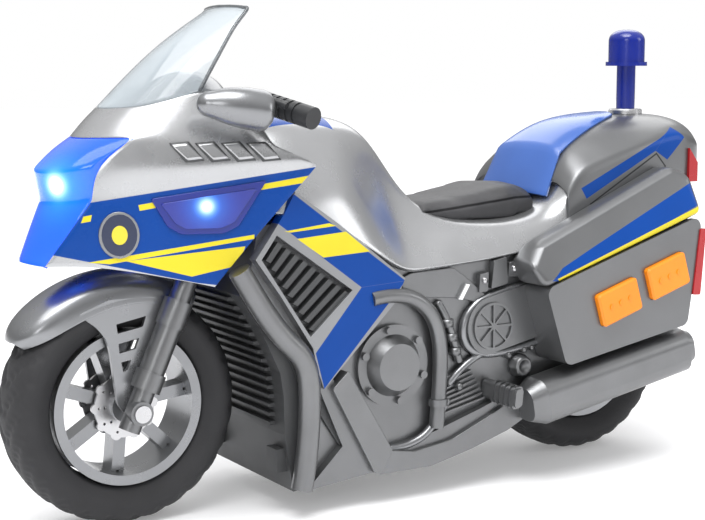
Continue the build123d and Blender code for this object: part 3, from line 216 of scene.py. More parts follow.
def sweep(name, path, outline, material, body="main", replaces=(), steps=6, up=(0, 0, 1), scale=None,
          dome=0.0, also_mirror=False):
    """Sweep a closed outline of (across, up) points along a path; dome rounds the two ends.

    scale is a list of sizes, one per path point.
    """
    centre = spline(path, steps) if steps > 1 else [Vector(p) for p in path]
    sizes = [1.0] * len(centre)
    if scale:
        sizes = [value.x for value in spline([(s, 0, 0) for s in scale], steps)]
    stations = [(centre[i], sizes[i]) for i in range(len(centre))]
    directions = []
    for i in range(len(centre)):
        ahead = centre[min(i + 1, len(centre) - 1)] - centre[max(i - 1, 0)]
        directions.append(ahead.normalized())
    if dome:
        caps = ((0.35, 0.94), (0.7, 0.72), (0.92, 0.4), (1.0, 0.02))
        first, last = stations[0], stations[-1]
        front = [(first[0] - directions[0] * dome * reach, first[1] * size) for reach, size in reversed(caps)]
        back = [(last[0] + directions[-1] * dome * reach, last[1] * size) for reach, size in caps]
        stations = front + stations + back
        directions = [directions[0]] * len(caps) + directions + [directions[-1]] * len(caps)
    verts, faces = [], []
    upward = Vector(up)
    for (place, size), ahead in zip(stations, directions):
        across = ahead.cross(upward).normalized()
        upward = across.cross(ahead).normalized()
        for u, v in outline:
            verts.append(place + (across * u + upward * v) * size)
    count = len(outline)
    faces = grid_faces(len(stations), count, closed=True)
    faces.append(tuple(reversed(range(count))))
    faces.append(tuple(range((len(stations) - 1) * count, len(stations) * count)))
    verts = [tuple(v) for v in verts]
    if also_mirror:
        offset = len(verts)
        faces += [tuple(offset + i for i in reversed(face)) for face in faces]
        verts += mirrored(verts)
    obj = make_piece(name, verts, faces, material, body, replaces)
    make_outward(obj)
    return obj


def make_outward(obj):
    """Turn every face outward."""
    import bmesh
    mesh = bmesh.new()
    mesh.from_mesh(obj.data)
    bmesh.ops.recalc_face_normals(mesh, faces=mesh.faces)
    mesh.to_mesh(obj.data)
    mesh.free()


def circle(radius, count=20):
    return [(radius * cos(2 * pi * i / count), radius * sin(2 * pi * i / count)) for i in range(count)]


def squircle(half_width, half_height, count=28, power=4.0):
    """A rounded-rectangle outline."""
    points = []
    for i in range(count):
        c, s = cos(2 * pi * i / count), sin(2 * pi * i / count)
        points.append((half_width * abs(c) ** (2 / power) * (1 if c >= 0 else -1),
                       half_height * abs(s) ** (2 / power) * (1 if s >= 0 else -1)))
    return points


def rounded(outline, radius, steps=4):
    """An outline of (u, v) points with its corners rounded."""
    result = []
    count = len(outline)
    for i in range(count):
        before, here, after = (Vector(outline[(i + k) % count]) for k in (-1, 0, 1))
        to_before, to_after = before - here, after - here
        reach = min(radius, to_before.length * 0.45, to_after.length * 0.45)
        start = here + to_before.normalized() * reach
        end = here + to_after.normalized() * reach
        for step in range(steps + 1):
            t = step / steps
            result.append(tuple((1 - t) ** 2 * start + 2 * t * (1 - t) * here + t * t * end))
    return result


def plate(name, outline, x_from, x_to, material, slot, body="main", replaces=(), corner=0.0, edge=0.4,
          segments=3, also_mirror=False, holes=()):
    """A flat plate with a side outline of (y, z) points and rounded edges."""
    shape = rounded(outline, corner) if corner else list(outline)
    count = len(shape)
    verts = [(x_from, y, z) for y, z in shape] + [(x_to, y, z) for y, z in shape]
    faces = [tuple(range(count)), tuple(reversed(range(count, 2 * count)))]
    faces += [(i, i + count, (i + 1) % count + count, (i + 1) % count) for i in range(count)]
    if also_mirror:
        offset = len(verts)
        faces += [tuple(offset + i for i in reversed(face)) for face in faces]
        verts += mirrored(verts)
    obj = make_piece(name, verts, faces, material, body, replaces)
    make_outward(obj)
    if holes:
        cutters = [plate(f"{name}_cutter_{i}", hole, x_from - 2, x_to + 2, material, slot, corner=0.3, edge=0,
                         also_mirror=also_mirror) for i, hole in enumerate(holes)]
        cut(obj, *cutters)
    if edge:
        soften(obj, edge, segments)
    return obj


def lathe(name, profile, centre, material, axis="X", body="main", replaces=(), count=48, also_mirror=False,
          closed=True):
    """Turn a profile of (along, radius) points round an axis through centre."""
    verts = []
    for along, radius in profile:
        for i in range(count):
            a = 2 * pi * i / count
            if axis == "X":
                verts.append((centre[0] + along, centre[1] + radius * cos(a), centre[2] + radius * sin(a)))
            else:
                verts.append((centre[0] + radius * cos(a), centre[1] + radius * sin(a), centre[2] + along))
    rings = len(profile)
    faces = grid_faces(rings, count, closed=True)
    if closed:
        faces += [((rings - 1) * count + i, (rings - 1) * count + (i + 1) % count, (i + 1) % count, i)
                  for i in range(count)]
    else:
        faces.append(tuple(reversed(range(count))))
        faces.append(tuple(range((rings - 1) * count, rings * count)))
    if also_mirror:
        offset = len(verts)
        faces += [tuple(offset + i for i in reversed(face)) for face in faces]
        verts += mirrored(verts)
    obj = make_piece(name, verts, faces, material, body, replaces)
    make_outward(obj)
    return obj


# ---- material helpers ------------------------------------------------------------------------------
class Shader:
    """Small wrapper that adds shader nodes and links them."""

    def __init__(self, name):
        self.material = bpy.data.materials.new(name)
        self.material.use_nodes = True
        self.tree = self.material.node_tree
        self.tree.nodes.clear()
        self.output = self.tree.nodes.new("ShaderNodeOutputMaterial")
        coordinates = self.tree.nodes.new("ShaderNodeTexCoord")
        scaled = self.tree.nodes.new("ShaderNodeVectorMath")
        scaled.operation = "SCALE"
        scaled.inputs["Scale"].default_value = 1 / MM
        self.tree.links.new(coordinates.outputs["Object"], scaled.inputs[0])
        self.place = scaled.outputs[0]          # object position in millimetres
        split = self.tree.nodes.new("ShaderNodeSeparateXYZ")
        self.tree.links.new(self.place, split.inputs[0])
        self.x, self.y, self.z = split.outputs

    def set(self, socket, value):
        if isinstance(value, bpy.types.NodeSocket):
            self.tree.links.new(value, socket)
        elif isinstance(value, (tuple, list)) and len(value) == 3 and len(socket.default_value) == 4:
            socket.default_value = (*value, 1.0)
        else:
            socket.default_value = value

    def add(self, kind, **inputs):
        node = self.tree.nodes.new("ShaderNode" + kind)
        for key, value in inputs.items():
            self.set(node.inputs[key.replace("_", " ")], value)
        return node

    def math(self, operation, a, b=0.0, clamp=False):
        node = self.tree.nodes.new("ShaderNodeMath")
        node.operation = operation
        node.use_clamp = clamp
        self.set(node.inputs[0], a)
        self.set(node.inputs[1], b)
        return node.outputs[0]

    def mix(self, factor, a, b):
        node = self.tree.nodes.new("ShaderNodeMix")
        node.data_type = "RGBA"
        self.set(node.inputs[0], factor)
        self.set(node.inputs[6], a)
        self.set(node.inputs[7], b)
        return node.outputs[2]

    def ramp(self, value, low, high, to_low=0.0, to_high=1.0):
        node = self.tree.nodes.new("ShaderNodeMapRange")
        for index, item in enumerate((value, low, high, to_low, to_high)):
            self.set(node.inputs[index], item)
        return node.outputs[0]

    def noise(self, scale, detail=3.0, stretch=None):
        """Noise in the range 0 to 1; scale is in features per millimetre."""
        place = self.place
        if stretch:
            place = self.add("Mapping", Vector=self.place, Scale=stretch).outputs[0]
        node = self.add("TexNoise", Vector=place, Scale=scale, Detail=detail)
        return node.outputs[0]

    def dot(self, direction):
        node = self.tree.nodes.new("ShaderNodeVectorMath")
        node.operation = "DOT_PRODUCT"
        self.set(node.inputs[0], self.place)
        node.inputs[1].default_value = direction
        return node.outputs["Value"]

    def polygon(self, outline, soft=0.12):
        """1 inside a convex side outline of (y, z) points, 0 outside."""
        area = sum(a[0] * b[1] - b[0] * a[1] for a, b in zip(outline, outline[1:] + outline[:1]))
        turn = 1 if area > 0 else -1
        inside = None
        for (ya, za), (yb, zb) in zip(outline, outline[1:] + outline[:1]):
            length = sqrt((yb - ya) ** 2 + (zb - za) ** 2)
            ny, nz = -turn * (zb - za) / length, turn * (yb - ya) / length
            distance = self.math("SUBTRACT", self.dot((0, ny, nz)), ny * ya + nz * za)
            inside = distance if inside is None else self.math("MINIMUM", inside, distance)
        return self.ramp(inside, -soft / 2, soft / 2)

    def outside(self, limit, soft=0.2):
        """1 where a point is further than limit from the middle plane."""
        return self.ramp(self.math("ABSOLUTE", self.x), limit - soft, limit + soft)

    def finish(self, shader):
        self.tree.links.new(shader, self.output.inputs["Surface"])
        return self.material


def moulded(name, colour, roughness=0.4, metallic=0.0, coat=0.0, grain=0.012, variation=0.08, wear=0.15,
            paints=(), flake=0.0, glow=None, specular=0.5):
    """Moulded or painted plastic: colour drift, fine grain, scuffed edges, and optional printed areas.

    paints is a list of functions that take the shader and return (mask, colour).
    """
    s = Shader(name)
    drift = s.ramp(s.noise(0.05, 4.0), 0.3, 0.7, 1 - variation, 1 + variation)
    base = s.add("RGB").outputs[0]
    base.default_value = (*colour, 1.0)
    printed = None
    for paint in paints:
        mask, tint = paint(s)
        base = s.mix(mask, base, tint)
        printed = mask if printed is None else s.math("MAXIMUM", printed, mask)
    tinted = s.tree.nodes.new("ShaderNodeVectorMath")
    tinted.operation = "SCALE"
    s.set(tinted.inputs[0], base)
    s.set(tinted.inputs["Scale"], drift)
    scratches = s.ramp(s.noise(1.0, 6.0, stretch=(0.25, 0.9, 3.2)), 0.66, 0.74, 0.0, wear * 0.16)
    scuff = s.math("MULTIPLY", scratches, s.ramp(s.noise(0.11, 3.0), 0.5, 0.62))
    worn = s.mix(scuff, tinted.outputs[0], tuple(min(1.0, c * 0.6 + 0.2) for c in colour))
    fine = s.noise(6.0, 2.0)
    rough = s.math("ADD", s.ramp(s.noise(0.12, 3.0), 0.25, 0.75, roughness - 0.03, roughness + 0.04),
                   s.math("MULTIPLY", fine, 0.03))
    bump = s.add("Bump", Strength=grain, Distance=0.0004, Height=fine)
    shader = s.add("BsdfPrincipled", Roughness=rough, Metallic=metallic, Normal=bump.outputs[0])
    s.set(shader.inputs["Base Color"], worn)
    s.set(shader.inputs["Coat Weight"], coat)
    s.set(shader.inputs["Coat Roughness"], 0.12)
    s.set(shader.inputs["Specular IOR Level"], specular)
    if printed is not None:
        s.set(shader.inputs["Metallic"], s.math("MULTIPLY", s.math("SUBTRACT", 1.0, printed), metallic))
        s.set(shader.inputs["Specular IOR Level"], s.ramp(printed, 0.0, 1.0, specular, specular * 0.3))
    elif flake:
        sparkle = s.ramp(s.add("TexVoronoi", Vector=s.place, Scale=5.0).outputs["Color"], 0.0, 1.0, -flake, flake)
        s.set(shader.inputs["Metallic"], s.math("ADD", sparkle, metallic, clamp=True))
    # glow makes the surface give off light; on a part that is no lamp this is a painted glow.
    if glow:
        s.set(shader.inputs["Emission Color"], glow[0])
        s.set(shader.inputs["Emission Strength"], glow[1])
    return s.finish(shader.outputs[0])


# ---- colours and printed areas ---------------------------------------------------------------------
SILVER = (0.27, 0.275, 0.285)
SILVER_LIGHT = (0.46, 0.465, 0.475)
# Silver darkened for the pannier boxes, lids and tail: a shaded copy of the silver, painted shade.
SILVER_SIDE_PAINTED_SHADE = (0.175, 0.178, 0.183)
SILVER_DARK = (0.085, 0.087, 0.09)
BLUE = (0.0, 0.050, 0.28)
YELLOW = (0.72, 0.60, 0.03)
WHITE = (0.80, 0.82, 0.84)


def inside(outline, tint, beyond=0.0, soft=0.15):
    """A printed area with a convex side outline, only where |x| is over a limit."""
    def paint(s):
        mask = s.polygon(outline, soft)
        if beyond:
            mask = s.math("MULTIPLY", mask, s.outside(beyond))
        return mask, tint
    return paint


# Fairing graphics: a blue field under the belt crease, a yellow flash and thin yellow lines.
FAIRING_BLUE = [(-118.0, 93.6), (-103.6, 95.9), (-40.0, 105.3), (-40.0, 96.0), (-60.0, 70.0), (-76.0, 72.4),
                (-118.0, 82.4)]
FAIRING_FLASH = [(-95.0, 79.2), (-63.0, 82.5), (-64.9, 77.1), (-77.6, 74.3)]
FAIRING_LOW_LINE = [(-105.1, 79.1), (-60.5, 85.8), (-60.5, 84.6), (-99.3, 78.5)]
FAIRING_NOSE_DASH = [(-105.9, 92.0), (-103.7, 92.4), (-104.1, 90.6), (-106.6, 90.2)]
FAIRING_MID_DASH = [(-91.5, 94.9), (-85.7, 95.9), (-85.3, 94.3), (-91.2, 93.3)]
FAIRING_TAIL_LINE = [(-60.6, 99.7), (-45.0, 102.4), (-46.0, 100.4), (-59.9, 98.3)]
fairing_paints = [inside(FAIRING_BLUE, BLUE), inside(FAIRING_FLASH, YELLOW), inside(FAIRING_LOW_LINE, YELLOW),
                  inside(FAIRING_NOSE_DASH, YELLOW), inside(FAIRING_MID_DASH, YELLOW),
                  inside(FAIRING_TAIL_LINE, YELLOW)]

# Side panel graphics: the blue band turns down along the front of the engine.
PANEL_BLUE_UPPER = [(-54.7, 89.7), (-47.9, 96.8), (-9.4, 68.8), (-25.1, 68.0)]
PANEL_BLUE_LOWER = [(-25.1, 68.0), (-9.4, 68.8), (-38.0, 38.6), (-40.9, 49.6)]
PANEL_FLASH = [(-46.9, 83.8), (-30.5, 85.0), (-22.2, 78.6), (-38.2, 77.8)]
PANEL_LINE = [(-51.0, 86.2), (-36.2, 87.8), (-34.0, 86.9), (-49.0, 85.8)]
panel_paints = [inside(PANEL_BLUE_UPPER, BLUE, 25.0), inside(PANEL_BLUE_LOWER, BLUE, 25.0),
                inside(PANEL_FLASH, YELLOW, 25.0), inside(PANEL_LINE, YELLOW, 25.0)]

LID_BLUE = [(38.5, 66.4), (43.0, 70.2), (98.2, 94.7), (99.8, 87.4), (42.8, 65.9)]
LID_LINE = [(40.6, 66.9), (100.2, 87.1), (100.2, 85.0), (42.8, 65.5)]
lid_paints = [inside(LID_BLUE, BLUE, 33.0), inside(LID_LINE, YELLOW, 33.0)]

TAIL_BLUE = [(61.1, 93.7), (98.0, 110.5), (93.0, 105.0), (63.3, 90.2)]
TAIL_BLUE_END = [(93.0, 105.0), (98.0, 110.5), (102.8, 112.7), (106.6, 109.2), (98.3, 101.9)]
TAIL_GROOVE = [(62.9, 81.1), (65.1, 88.4), (93.4, 104.1), (97.4, 99.8), (96.9, 96.0)]


def line_outline(start, end, width=0.55):
    """The thin rectangle of a line between two points."""
    along = (Vector(end) - Vector(start)).normalized() * width / 2
    side = Vector((-along.y, along.x))
    corners = (Vector(start) - along + side, Vector(end) + along + side, Vector(end) + along - side,
               Vector(start) - along - side)
    return [tuple(corner) for corner in corners]


# Painted shade: dark lines drawn on the tail along its engraved groove outline, in place of a cut groove.
GROOVE_SHADE = (0.03, 0.031, 0.033)
tail_paints = [inside(TAIL_BLUE, BLUE, 20.0), inside(TAIL_BLUE_END, BLUE, 20.0)]
tail_paints += [inside(line_outline(start, end), GROOVE_SHADE, 20.0) for start, end in zip(TAIL_GROOVE, TAIL_GROOVE[1:])]


def tank_blue(s):
    """Blue band over the front of the tank, on its top."""
    front = s.ramp(s.y, -24.3, -24.0, 1.0, 0.0)
    edge = s.ramp(s.math("ABSOLUTE", s.x), 11.8, 12.0, 1.0, 0.0)
    top = s.ramp(s.z, 112.0, 112.2)
    return s.math("MULTIPLY", s.math("MULTIPLY", front, edge), top), BLUE


SEAT_FRONT, SEAT_BACK = 8.0, 42.0
SEAM_FRONT, SEAM_BACK = 87.2, 90.8


def seat_seam(s):
    """Dark sewn line between the seat's top panel and its sides."""
    height = s.ramp(s.y, SEAT_FRONT, SEAT_BACK, SEAM_FRONT, SEAM_BACK)
    gap = s.math("ABSOLUTE", s.math("SUBTRACT", s.z, height))
    return s.ramp(gap, 0.25, 0.5, 1.0, 0.0), (0.006, 0.006, 0.007)


# ---- materials -------------------------------------------------------------------------------------
silver = moulded("silver_paint", SILVER, 0.27, metallic=0.85, coat=0.12, flake=0.02, variation=0.04, wear=0.2)
silver_light = moulded("silver_light", SILVER_LIGHT, 0.24, metallic=0.85, coat=0.12, flake=0.02, variation=0.05,
                       wear=0.2, paints=[tank_blue])
fairing_print = moulded("fairing_print", SILVER_LIGHT, 0.25, metallic=0.85, coat=0.12, flake=0.02, variation=0.04,
                        wear=0.4, paints=fairing_paints)
panel_print = moulded("panel_print", SILVER, 0.32, metallic=0.65, coat=0.12, flake=0.02, variation=0.05, wear=0.4,
                      paints=panel_paints)
# Lids and tail: prints over the darkened silver, which is painted shade.
lid_print = moulded("lid_print", SILVER_SIDE_PAINTED_SHADE, 0.34, metallic=0.7, coat=0.12, flake=0.02, variation=0.05, wear=0.2,
                    paints=lid_paints)
tail_print = moulded("tail_print", SILVER_SIDE_PAINTED_SHADE, 0.32, metallic=0.7, coat=0.12, flake=0.02, variation=0.05, wear=0.2,
                     paints=tail_paints)
# Pannier boxes: the darkened silver, painted shade.
silver_side_painted_shade = moulded("silver_side_painted_shade", SILVER_SIDE_PAINTED_SHADE, 0.33, metallic=0.7, coat=0.12, flake=0.02, variation=0.04,
                      wear=0.2)
silver_cast = moulded("silver_cast", (0.20, 0.203, 0.208), 0.32, metallic=0.85, coat=0.05, grain=0.08, flake=0.03,
                      variation=0.08, wear=0.8)
grey_cast = moulded("grey_cast", SILVER_DARK, 0.46, metallic=0.55, grain=0.08, variation=0.1, wear=0.8)
dark_gap = moulded("dark_gap", (0.02, 0.021, 0.023), 0.6, variation=0.15, grain=0.1, wear=0.1)
black = moulded("black_moulding", (0.022, 0.023, 0.025), 0.42, grain=0.12, variation=0.15, wear=0.35)
rubber = moulded("tyre_rubber", (0.026, 0.026, 0.028), 0.62, grain=0.25, variation=0.18, wear=0.4, specular=0.35)
vinyl = moulded("seat_vinyl", (0.032, 0.032, 0.035), 0.45, grain=0.35, variation=0.12, wear=0.2, paints=[seat_seam])
gold = moulded("yellow_print", YELLOW, 0.3, coat=0.3, variation=0.06, wear=0.1)
white = moulded("white_print", WHITE, 0.3, coat=0.3, variation=0.04, wear=0.1)
navy = moulded("navy_print", (0.004, 0.012, 0.05), 0.22, coat=0.5, variation=0.08, wear=0.1)
blue_gloss = moulded("blue_gloss", (0.002, 0.014, 0.22), 0.18, coat=0.3, variation=0.05, wear=0.1)
blue_window = moulded("blue_window", (0.045, 0.125, 0.43), 0.2, coat=0.3, variation=0.05, wear=0.1)
# The sound buttons get a faint emission though they are no lamp: a painted glow.
orange_painted_glow = moulded("button_orange", (0.88, 0.25, 0.004), 0.38, coat=0.1, variation=0.05, wear=0.25,
                 glow=((1.0, 0.30, 0.01), 0.06))
red = moulded("red_lamp", (0.40, 0.006, 0.010), 0.26, coat=0.2, variation=0.06, wear=0.1)
lamp_metal = moulded("lamp_metal", (0.78, 0.79, 0.80), 0.14, metallic=0.95, variation=0.03, wear=0.1)
steel = moulded("steel", (0.56, 0.56, 0.57), 0.26, metallic=1.0, variation=0.08, wear=0.3, grain=0.05)
brass = moulded("brass", (0.70, 0.48, 0.17), 0.30, metallic=1.0, variation=0.1, wear=0.4, grain=0.05)
board = moulded("board_green", (0.02, 0.16, 0.06), 0.35, coat=0.4, variation=0.15, wear=0.2)
cell = moulded("cell_metal", (0.45, 0.42, 0.36), 0.3, metallic=0.9, variation=0.08, wear=0.3)


def lamp_blue(name, bursts, base=(0.004, 0.10, 0.80), strength=0.55):
    """Lit blue plastic with bright white-violet bursts round the lamps behind it."""
    s = Shader(name)
    drift = s.ramp(s.noise(0.08, 3.0), 0.3, 0.7, 0.85, 1.15)
    core = None
    halo = None
    for x, y, z, radius in bursts:
        offset = s.tree.nodes.new("ShaderNodeVectorMath")
        offset.operation = "DISTANCE"
        s.set(offset.inputs[0], s.place)
        offset.inputs[1].default_value = (x, y, z)
        near = s.math("POWER", s.ramp(offset.outputs["Value"], 0.0, radius, 1.0, 0.0), 2.6)
        wide = s.math("POWER", s.ramp(offset.outputs["Value"], 0.0, radius * 2.4, 1.0, 0.0), 2.0)
        core = near if core is None else s.math("MAXIMUM", core, near)
        halo = wide if halo is None else s.math("MAXIMUM", halo, wide)
    glow = s.mix(halo, (0.0, 0.10, 0.85), (0.02, 0.42, 1.0))
    glow = s.mix(s.math("MULTIPLY", core, 1.4, clamp=True), glow, (0.78, 0.66, 1.0))
    power = s.math("ADD", s.math("MULTIPLY", drift, strength), s.math("MULTIPLY", core, 7.0))
    power = s.math("ADD", power, s.math("MULTIPLY", halo, 0.9))
    fine = s.noise(1.6, 2.0)
    bump = s.add("Bump", Strength=0.05, Distance=0.0004, Height=fine)
    rough = s.ramp(s.noise(0.3, 3.0), 0.25, 0.75, 0.08, 0.16)
    shader = s.add("BsdfPrincipled", Roughness=rough, Normal=bump.outputs[0])
    s.set(shader.inputs["Base Color"], base)
    s.set(shader.inputs["Coat Weight"], 0.6)
    s.set(shader.inputs["Transmission Weight"], 0.25)
    s.set(shader.inputs["Emission Color"], glow)
    s.set(shader.inputs["Emission Strength"], power)
    return s.finish(shader.outputs[0])


def clear(name, tint, roughness=0.03, alpha=0.30):
    """Clear moulded screen that lets the background through and keeps its reflections."""
    s = Shader(name)
    rough = s.ramp(s.noise(0.2, 4.0), 0.3, 0.7, roughness, roughness + 0.05)
    bump = s.add("Bump", Strength=0.02, Distance=0.0004, Height=s.noise(0.6, 3.0))
    facing = s.add("LayerWeight", Blend=0.35).outputs["Facing"]
    haze = s.ramp(s.noise(0.06, 3.0), 0.3, 0.7, 0.95, 1.05)
    shader = s.add("BsdfPrincipled", Roughness=rough, Normal=bump.outputs[0])
    s.set(shader.inputs["Base Color"], tint)
    s.set(shader.inputs["Coat Weight"], 0.5)
    s.set(shader.inputs["Alpha"], s.math("MULTIPLY", haze, s.ramp(facing, 0.0, 1.0, alpha, 0.9)))
    return s.finish(shader.outputs[0])


lens_glow = lamp_blue("headlight_blue", [(7.8, -111.6, 100.4, 6.5), (-7.8, -111.6, 100.4, 6.5)])
side_glow = lamp_blue("side_lamp_blue", [(25.0, -73.5, 94.2, 5.0), (-25.0, -73.5, 94.2, 5.0)],
                      base=(0.005, 0.01, 0.25), strength=0.10)
led_glow = lamp_blue("led_blue", [(0.0, 0.0, 0.0, 1.0)], base=(0.2, 0.4, 0.9), strength=1.5)
smoke = clear("screen_edge", (0.10, 0.11, 0.12), 0.10, 0.75)
screen_clear = clear("screen_clear", (0.52, 0.58, 0.62))

NODE_MATERIALS = {
    "front_tyre": rubber, "rear_tyre": rubber, "front_rim": silver, "rear_rim": silver,
    "front_brake_discs": steel, "front_axle": steel, "rear_axle": steel, "fork_leg_left": silver_cast,
    "fork_leg_right": silver_cast, "fork_yoke": silver_cast, "front_mudguard": silver, "handlebar": black,
    "handlebar_grips": black, "brake_levers": black, "hand_guards": silver, "steering_head": grey_cast,
    "axle_pinion": brass, "idler_gear": brass, "spring_barrel": brass, "mainspring": steel, "motor_case": grey_cast,
    "chassis_left": silver_cast, "chassis_right": silver_cast, "body_screws": steel, "battery_door": grey_cast,
    "battery_cells": cell, "radiator_grille": grey_cast, "crash_bars": silver_cast, "engine_covers": silver_cast,
    "coolant_hoses": silver_cast, "belt_covers": silver_cast, "footpegs": silver_cast, "mufflers": silver_cast,
    "side_panel_left": panel_print, "side_panel_right": panel_print, "vent_louvres": grey_cast,
    "tank_shell": silver_light, "tank_stripe": blue_gloss, "seat_deck": silver, "seat": vinyl, "tail_box": tail_print,
    "tail_window": blue_window, "tail_lamps": red, "beacon_ring": steel, "beacon": blue_gloss,
    "pannier_box_left": silver_side_painted_shade, "pannier_box_right": silver_side_painted_shade, "pannier_lid_left": lid_print,
    "pannier_lid_right": lid_print, "sound_button_front": orange_painted_glow, "sound_button_rear": orange_painted_glow,
    "circuit_board": board, "loudspeaker": black, "fairing_left": fairing_print, "fairing_right": fairing_print,
    "headlight_lens": lens_glow, "side_lamps": side_glow, "led_lamps": led_glow, "windscreen": screen_clear,
    "instrument_panel": black,
}
for node in frame["nodes"]:
    name = node if isinstance(node, str) else node["name"]
    obj = bpy.data.objects[name]
    for slot in obj.material_slots:
        slot.material = NODE_MATERIALS[name]

# ---- camera, floor and light -----------------------------------------------------------------------
camera_data = bpy.data.cameras.new("camera")
camera_data.lens = 76.9
camera_data.sensor_width = 36.0
camera = bpy.data.objects.new("camera", camera_data)
bpy.context.scene.collection.objects.link(camera)
camera.location = (0.4079, -0.2578, 0.1336)
azimuth, pitch = radians(58.725), radians(7.368)
forward = Vector((-sin(azimuth) * cos(pitch), cos(azimuth) * cos(pitch), -sin(pitch)))
camera.rotation_euler = forward.to_track_quat("-Z", "Y").to_euler()
bpy.context.scene.camera = camera

floor_mesh = bpy.data.meshes.new("floor")
floor_mesh.from_pydata([(-4, -4, 0), (4, -4, 0), (4, 4, 0), (-4, 4, 0)], [], [(0, 1, 2, 3)])
floor_shader = Shader("floor")
floor_body = floor_shader.add("BsdfPrincipled", Roughness=0.7)
floor_shader.set(floor_body.inputs["Base Color"], (0.80, 0.80, 0.81))
floor_shader.set(floor_body.inputs["Emission Color"], (1.0, 1.0, 1.0))
floor_shader.set(floor_body.inputs["Emission Strength"], 0.22)
floor_mesh.materials.append(floor_shader.finish(floor_body.outputs[0]))
floor = link("floor", floor_mesh)


def soft_light(name, place, target, size, power, colour=(1.0, 1.0, 1.0)):
    data = bpy.data.lights.new(name, "AREA")
    data.energy = power
    data.size = size
    data.color = colour
    lamp = bpy.data.objects.new(name, data)
    bpy.context.scene.collection.objects.link(lamp)
    lamp.location = place
    lamp.rotation_euler = (Vector(target) - Vector(place)).to_track_quat("-Z", "Y").to_euler()


middle = (0.0, 0.0, 0.07)
soft_light("key", (0.35, -0.25, 1.05), middle, 0.6, 6.5)
soft_light("fill", (0.95, -0.80, 0.40), middle, 0.35, 1.6)
soft_light("back", (-0.7, 0.55, 0.8), middle, 0.8, 3.5)
soft_light("side", (0.7, 0.85, 0.40), middle, 0.4, 1.5)
world = bpy.data.worlds.new("studio")
bpy.context.scene.world = world
world.use_nodes = True
backdrop = world.node_tree.nodes["Background"]
backdrop.inputs["Color"].default_value = (1.0, 1.0, 1.0, 1.0)
direct = world.node_tree.nodes.new("ShaderNodeLightPath")
strength = world.node_tree.nodes.new("ShaderNodeMapRange")
strength.inputs["To Max"].default_value = 1.0
world.node_tree.links.new(direct.outputs["Is Camera Ray"], strength.inputs["Value"])
sky_place = world.node_tree.nodes.new("ShaderNodeTexCoord")
sky_split = world.node_tree.nodes.new("ShaderNodeSeparateXYZ")
sky = world.node_tree.nodes.new("ShaderNodeMapRange")
sky.interpolation_type = "SMOOTHSTEP"
for item, value in (("From Min", -0.05), ("From Max", 0.75), ("To Min", 0.20), ("To Max", 0.85)):
    sky.inputs[item].default_value = value
world.node_tree.links.new(sky_place.outputs["Generated"], sky_split.inputs[0])
world.node_tree.links.new(sky_split.outputs["Z"], sky.inputs["Value"])
world.node_tree.links.new(sky.outputs[0], strength.inputs["To Min"])
world.node_tree.links.new(strength.outputs[0], backdrop.inputs["Strength"])
bpy.context.scene.view_settings.view_transform = "Standard"
sun_data = bpy.data.lights.new("overhead", "SUN")
sun_data.energy = 1.5
sun_data.angle = radians(50)
sun = bpy.data.objects.new("overhead", sun_data)
bpy.context.scene.collection.objects.link(sun)
sun.rotation_euler = (radians(14), radians(10), 0.0)

# ---- fairing, headlight, dash and windscreen -------------------------------------------------------
nose_bottom = (10.9, -116.2, 78.2)
nose_belt = (14.9, -103.6, 96.3)
nose_ridge = (15.6, -102.8, 106.2)
nose_top = (18.9, -92.1, 113.8)
shoulder = [nose_top, (22.0, -84.0, 112.2), (25.0, -74.0, 111.6), (28.5, -63.0, 111.4), (31.0, -55.0, 111.0)]
belt = [nose_belt, (20.0, -88.7, 98.4), (25.0, -73.7, 100.4), (30.0, -58.0, 102.7), (35.0, -43.0, 105.2)]
fairing_side = [
    [nose_bottom, (15.0, -103.7, 78.1), (19.6, -89.8, 75.4), (23.6, -77.8, 72.7), (25.7, -71.4, 71.1)],
    [(13.0, -109.9, 87.2), (17.3, -97.0, 87.3), (21.6, -84.0, 86.9), (25.8, -71.0, 86.5), (29.3, -60.5, 85.0)],
    belt,
    [nose_ridge, (21.2, -90.0, 104.8), (26.4, -75.5, 105.2), (31.2, -60.0, 106.6), (34.4, -46.5, 107.4)],
    shoulder,
]
hood_edge = [(0.0, -103.3, 113.3), (6.0, -102.0, 113.4), (12.0, -98.5, 113.6)]
screen_base = [(0.0, -95.6, 121.4), (5.0, -94.4, 121.4), (10.0, -91.5, 121.7), (14.5, -87.0, 122.2),
               (18.5, -79.0, 124.4), (20.0, -72.0, 126.6), (20.0, -62.0, 124.6), (19.0, -54.0, 121.0)]
hood = [
    hood_edge + shoulder,
    [(0.0, -99.6, 117.6), (5.5, -98.4, 117.7), (10.8, -95.2, 117.9), (16.4, -89.6, 118.5), (20.2, -81.5, 118.8),
     (22.4, -73.0, 119.6), (24.0, -63.5, 118.6), (25.0, -56.0, 117.0)],
    screen_base,
]
shell("fairing_skin", [fairing_side, hood], fairing_print, (0.0, -60.0, 95.0), levels=3,
      replaces=("fairing_left", "fairing_right"), thickness=1.8,
      creases=[(belt, 0.85), (shoulder, 0.35), ([nose_bottom, (13.0, -109.9, 87.2), nose_belt, nose_ridge, nose_top],
                                               1.0)])

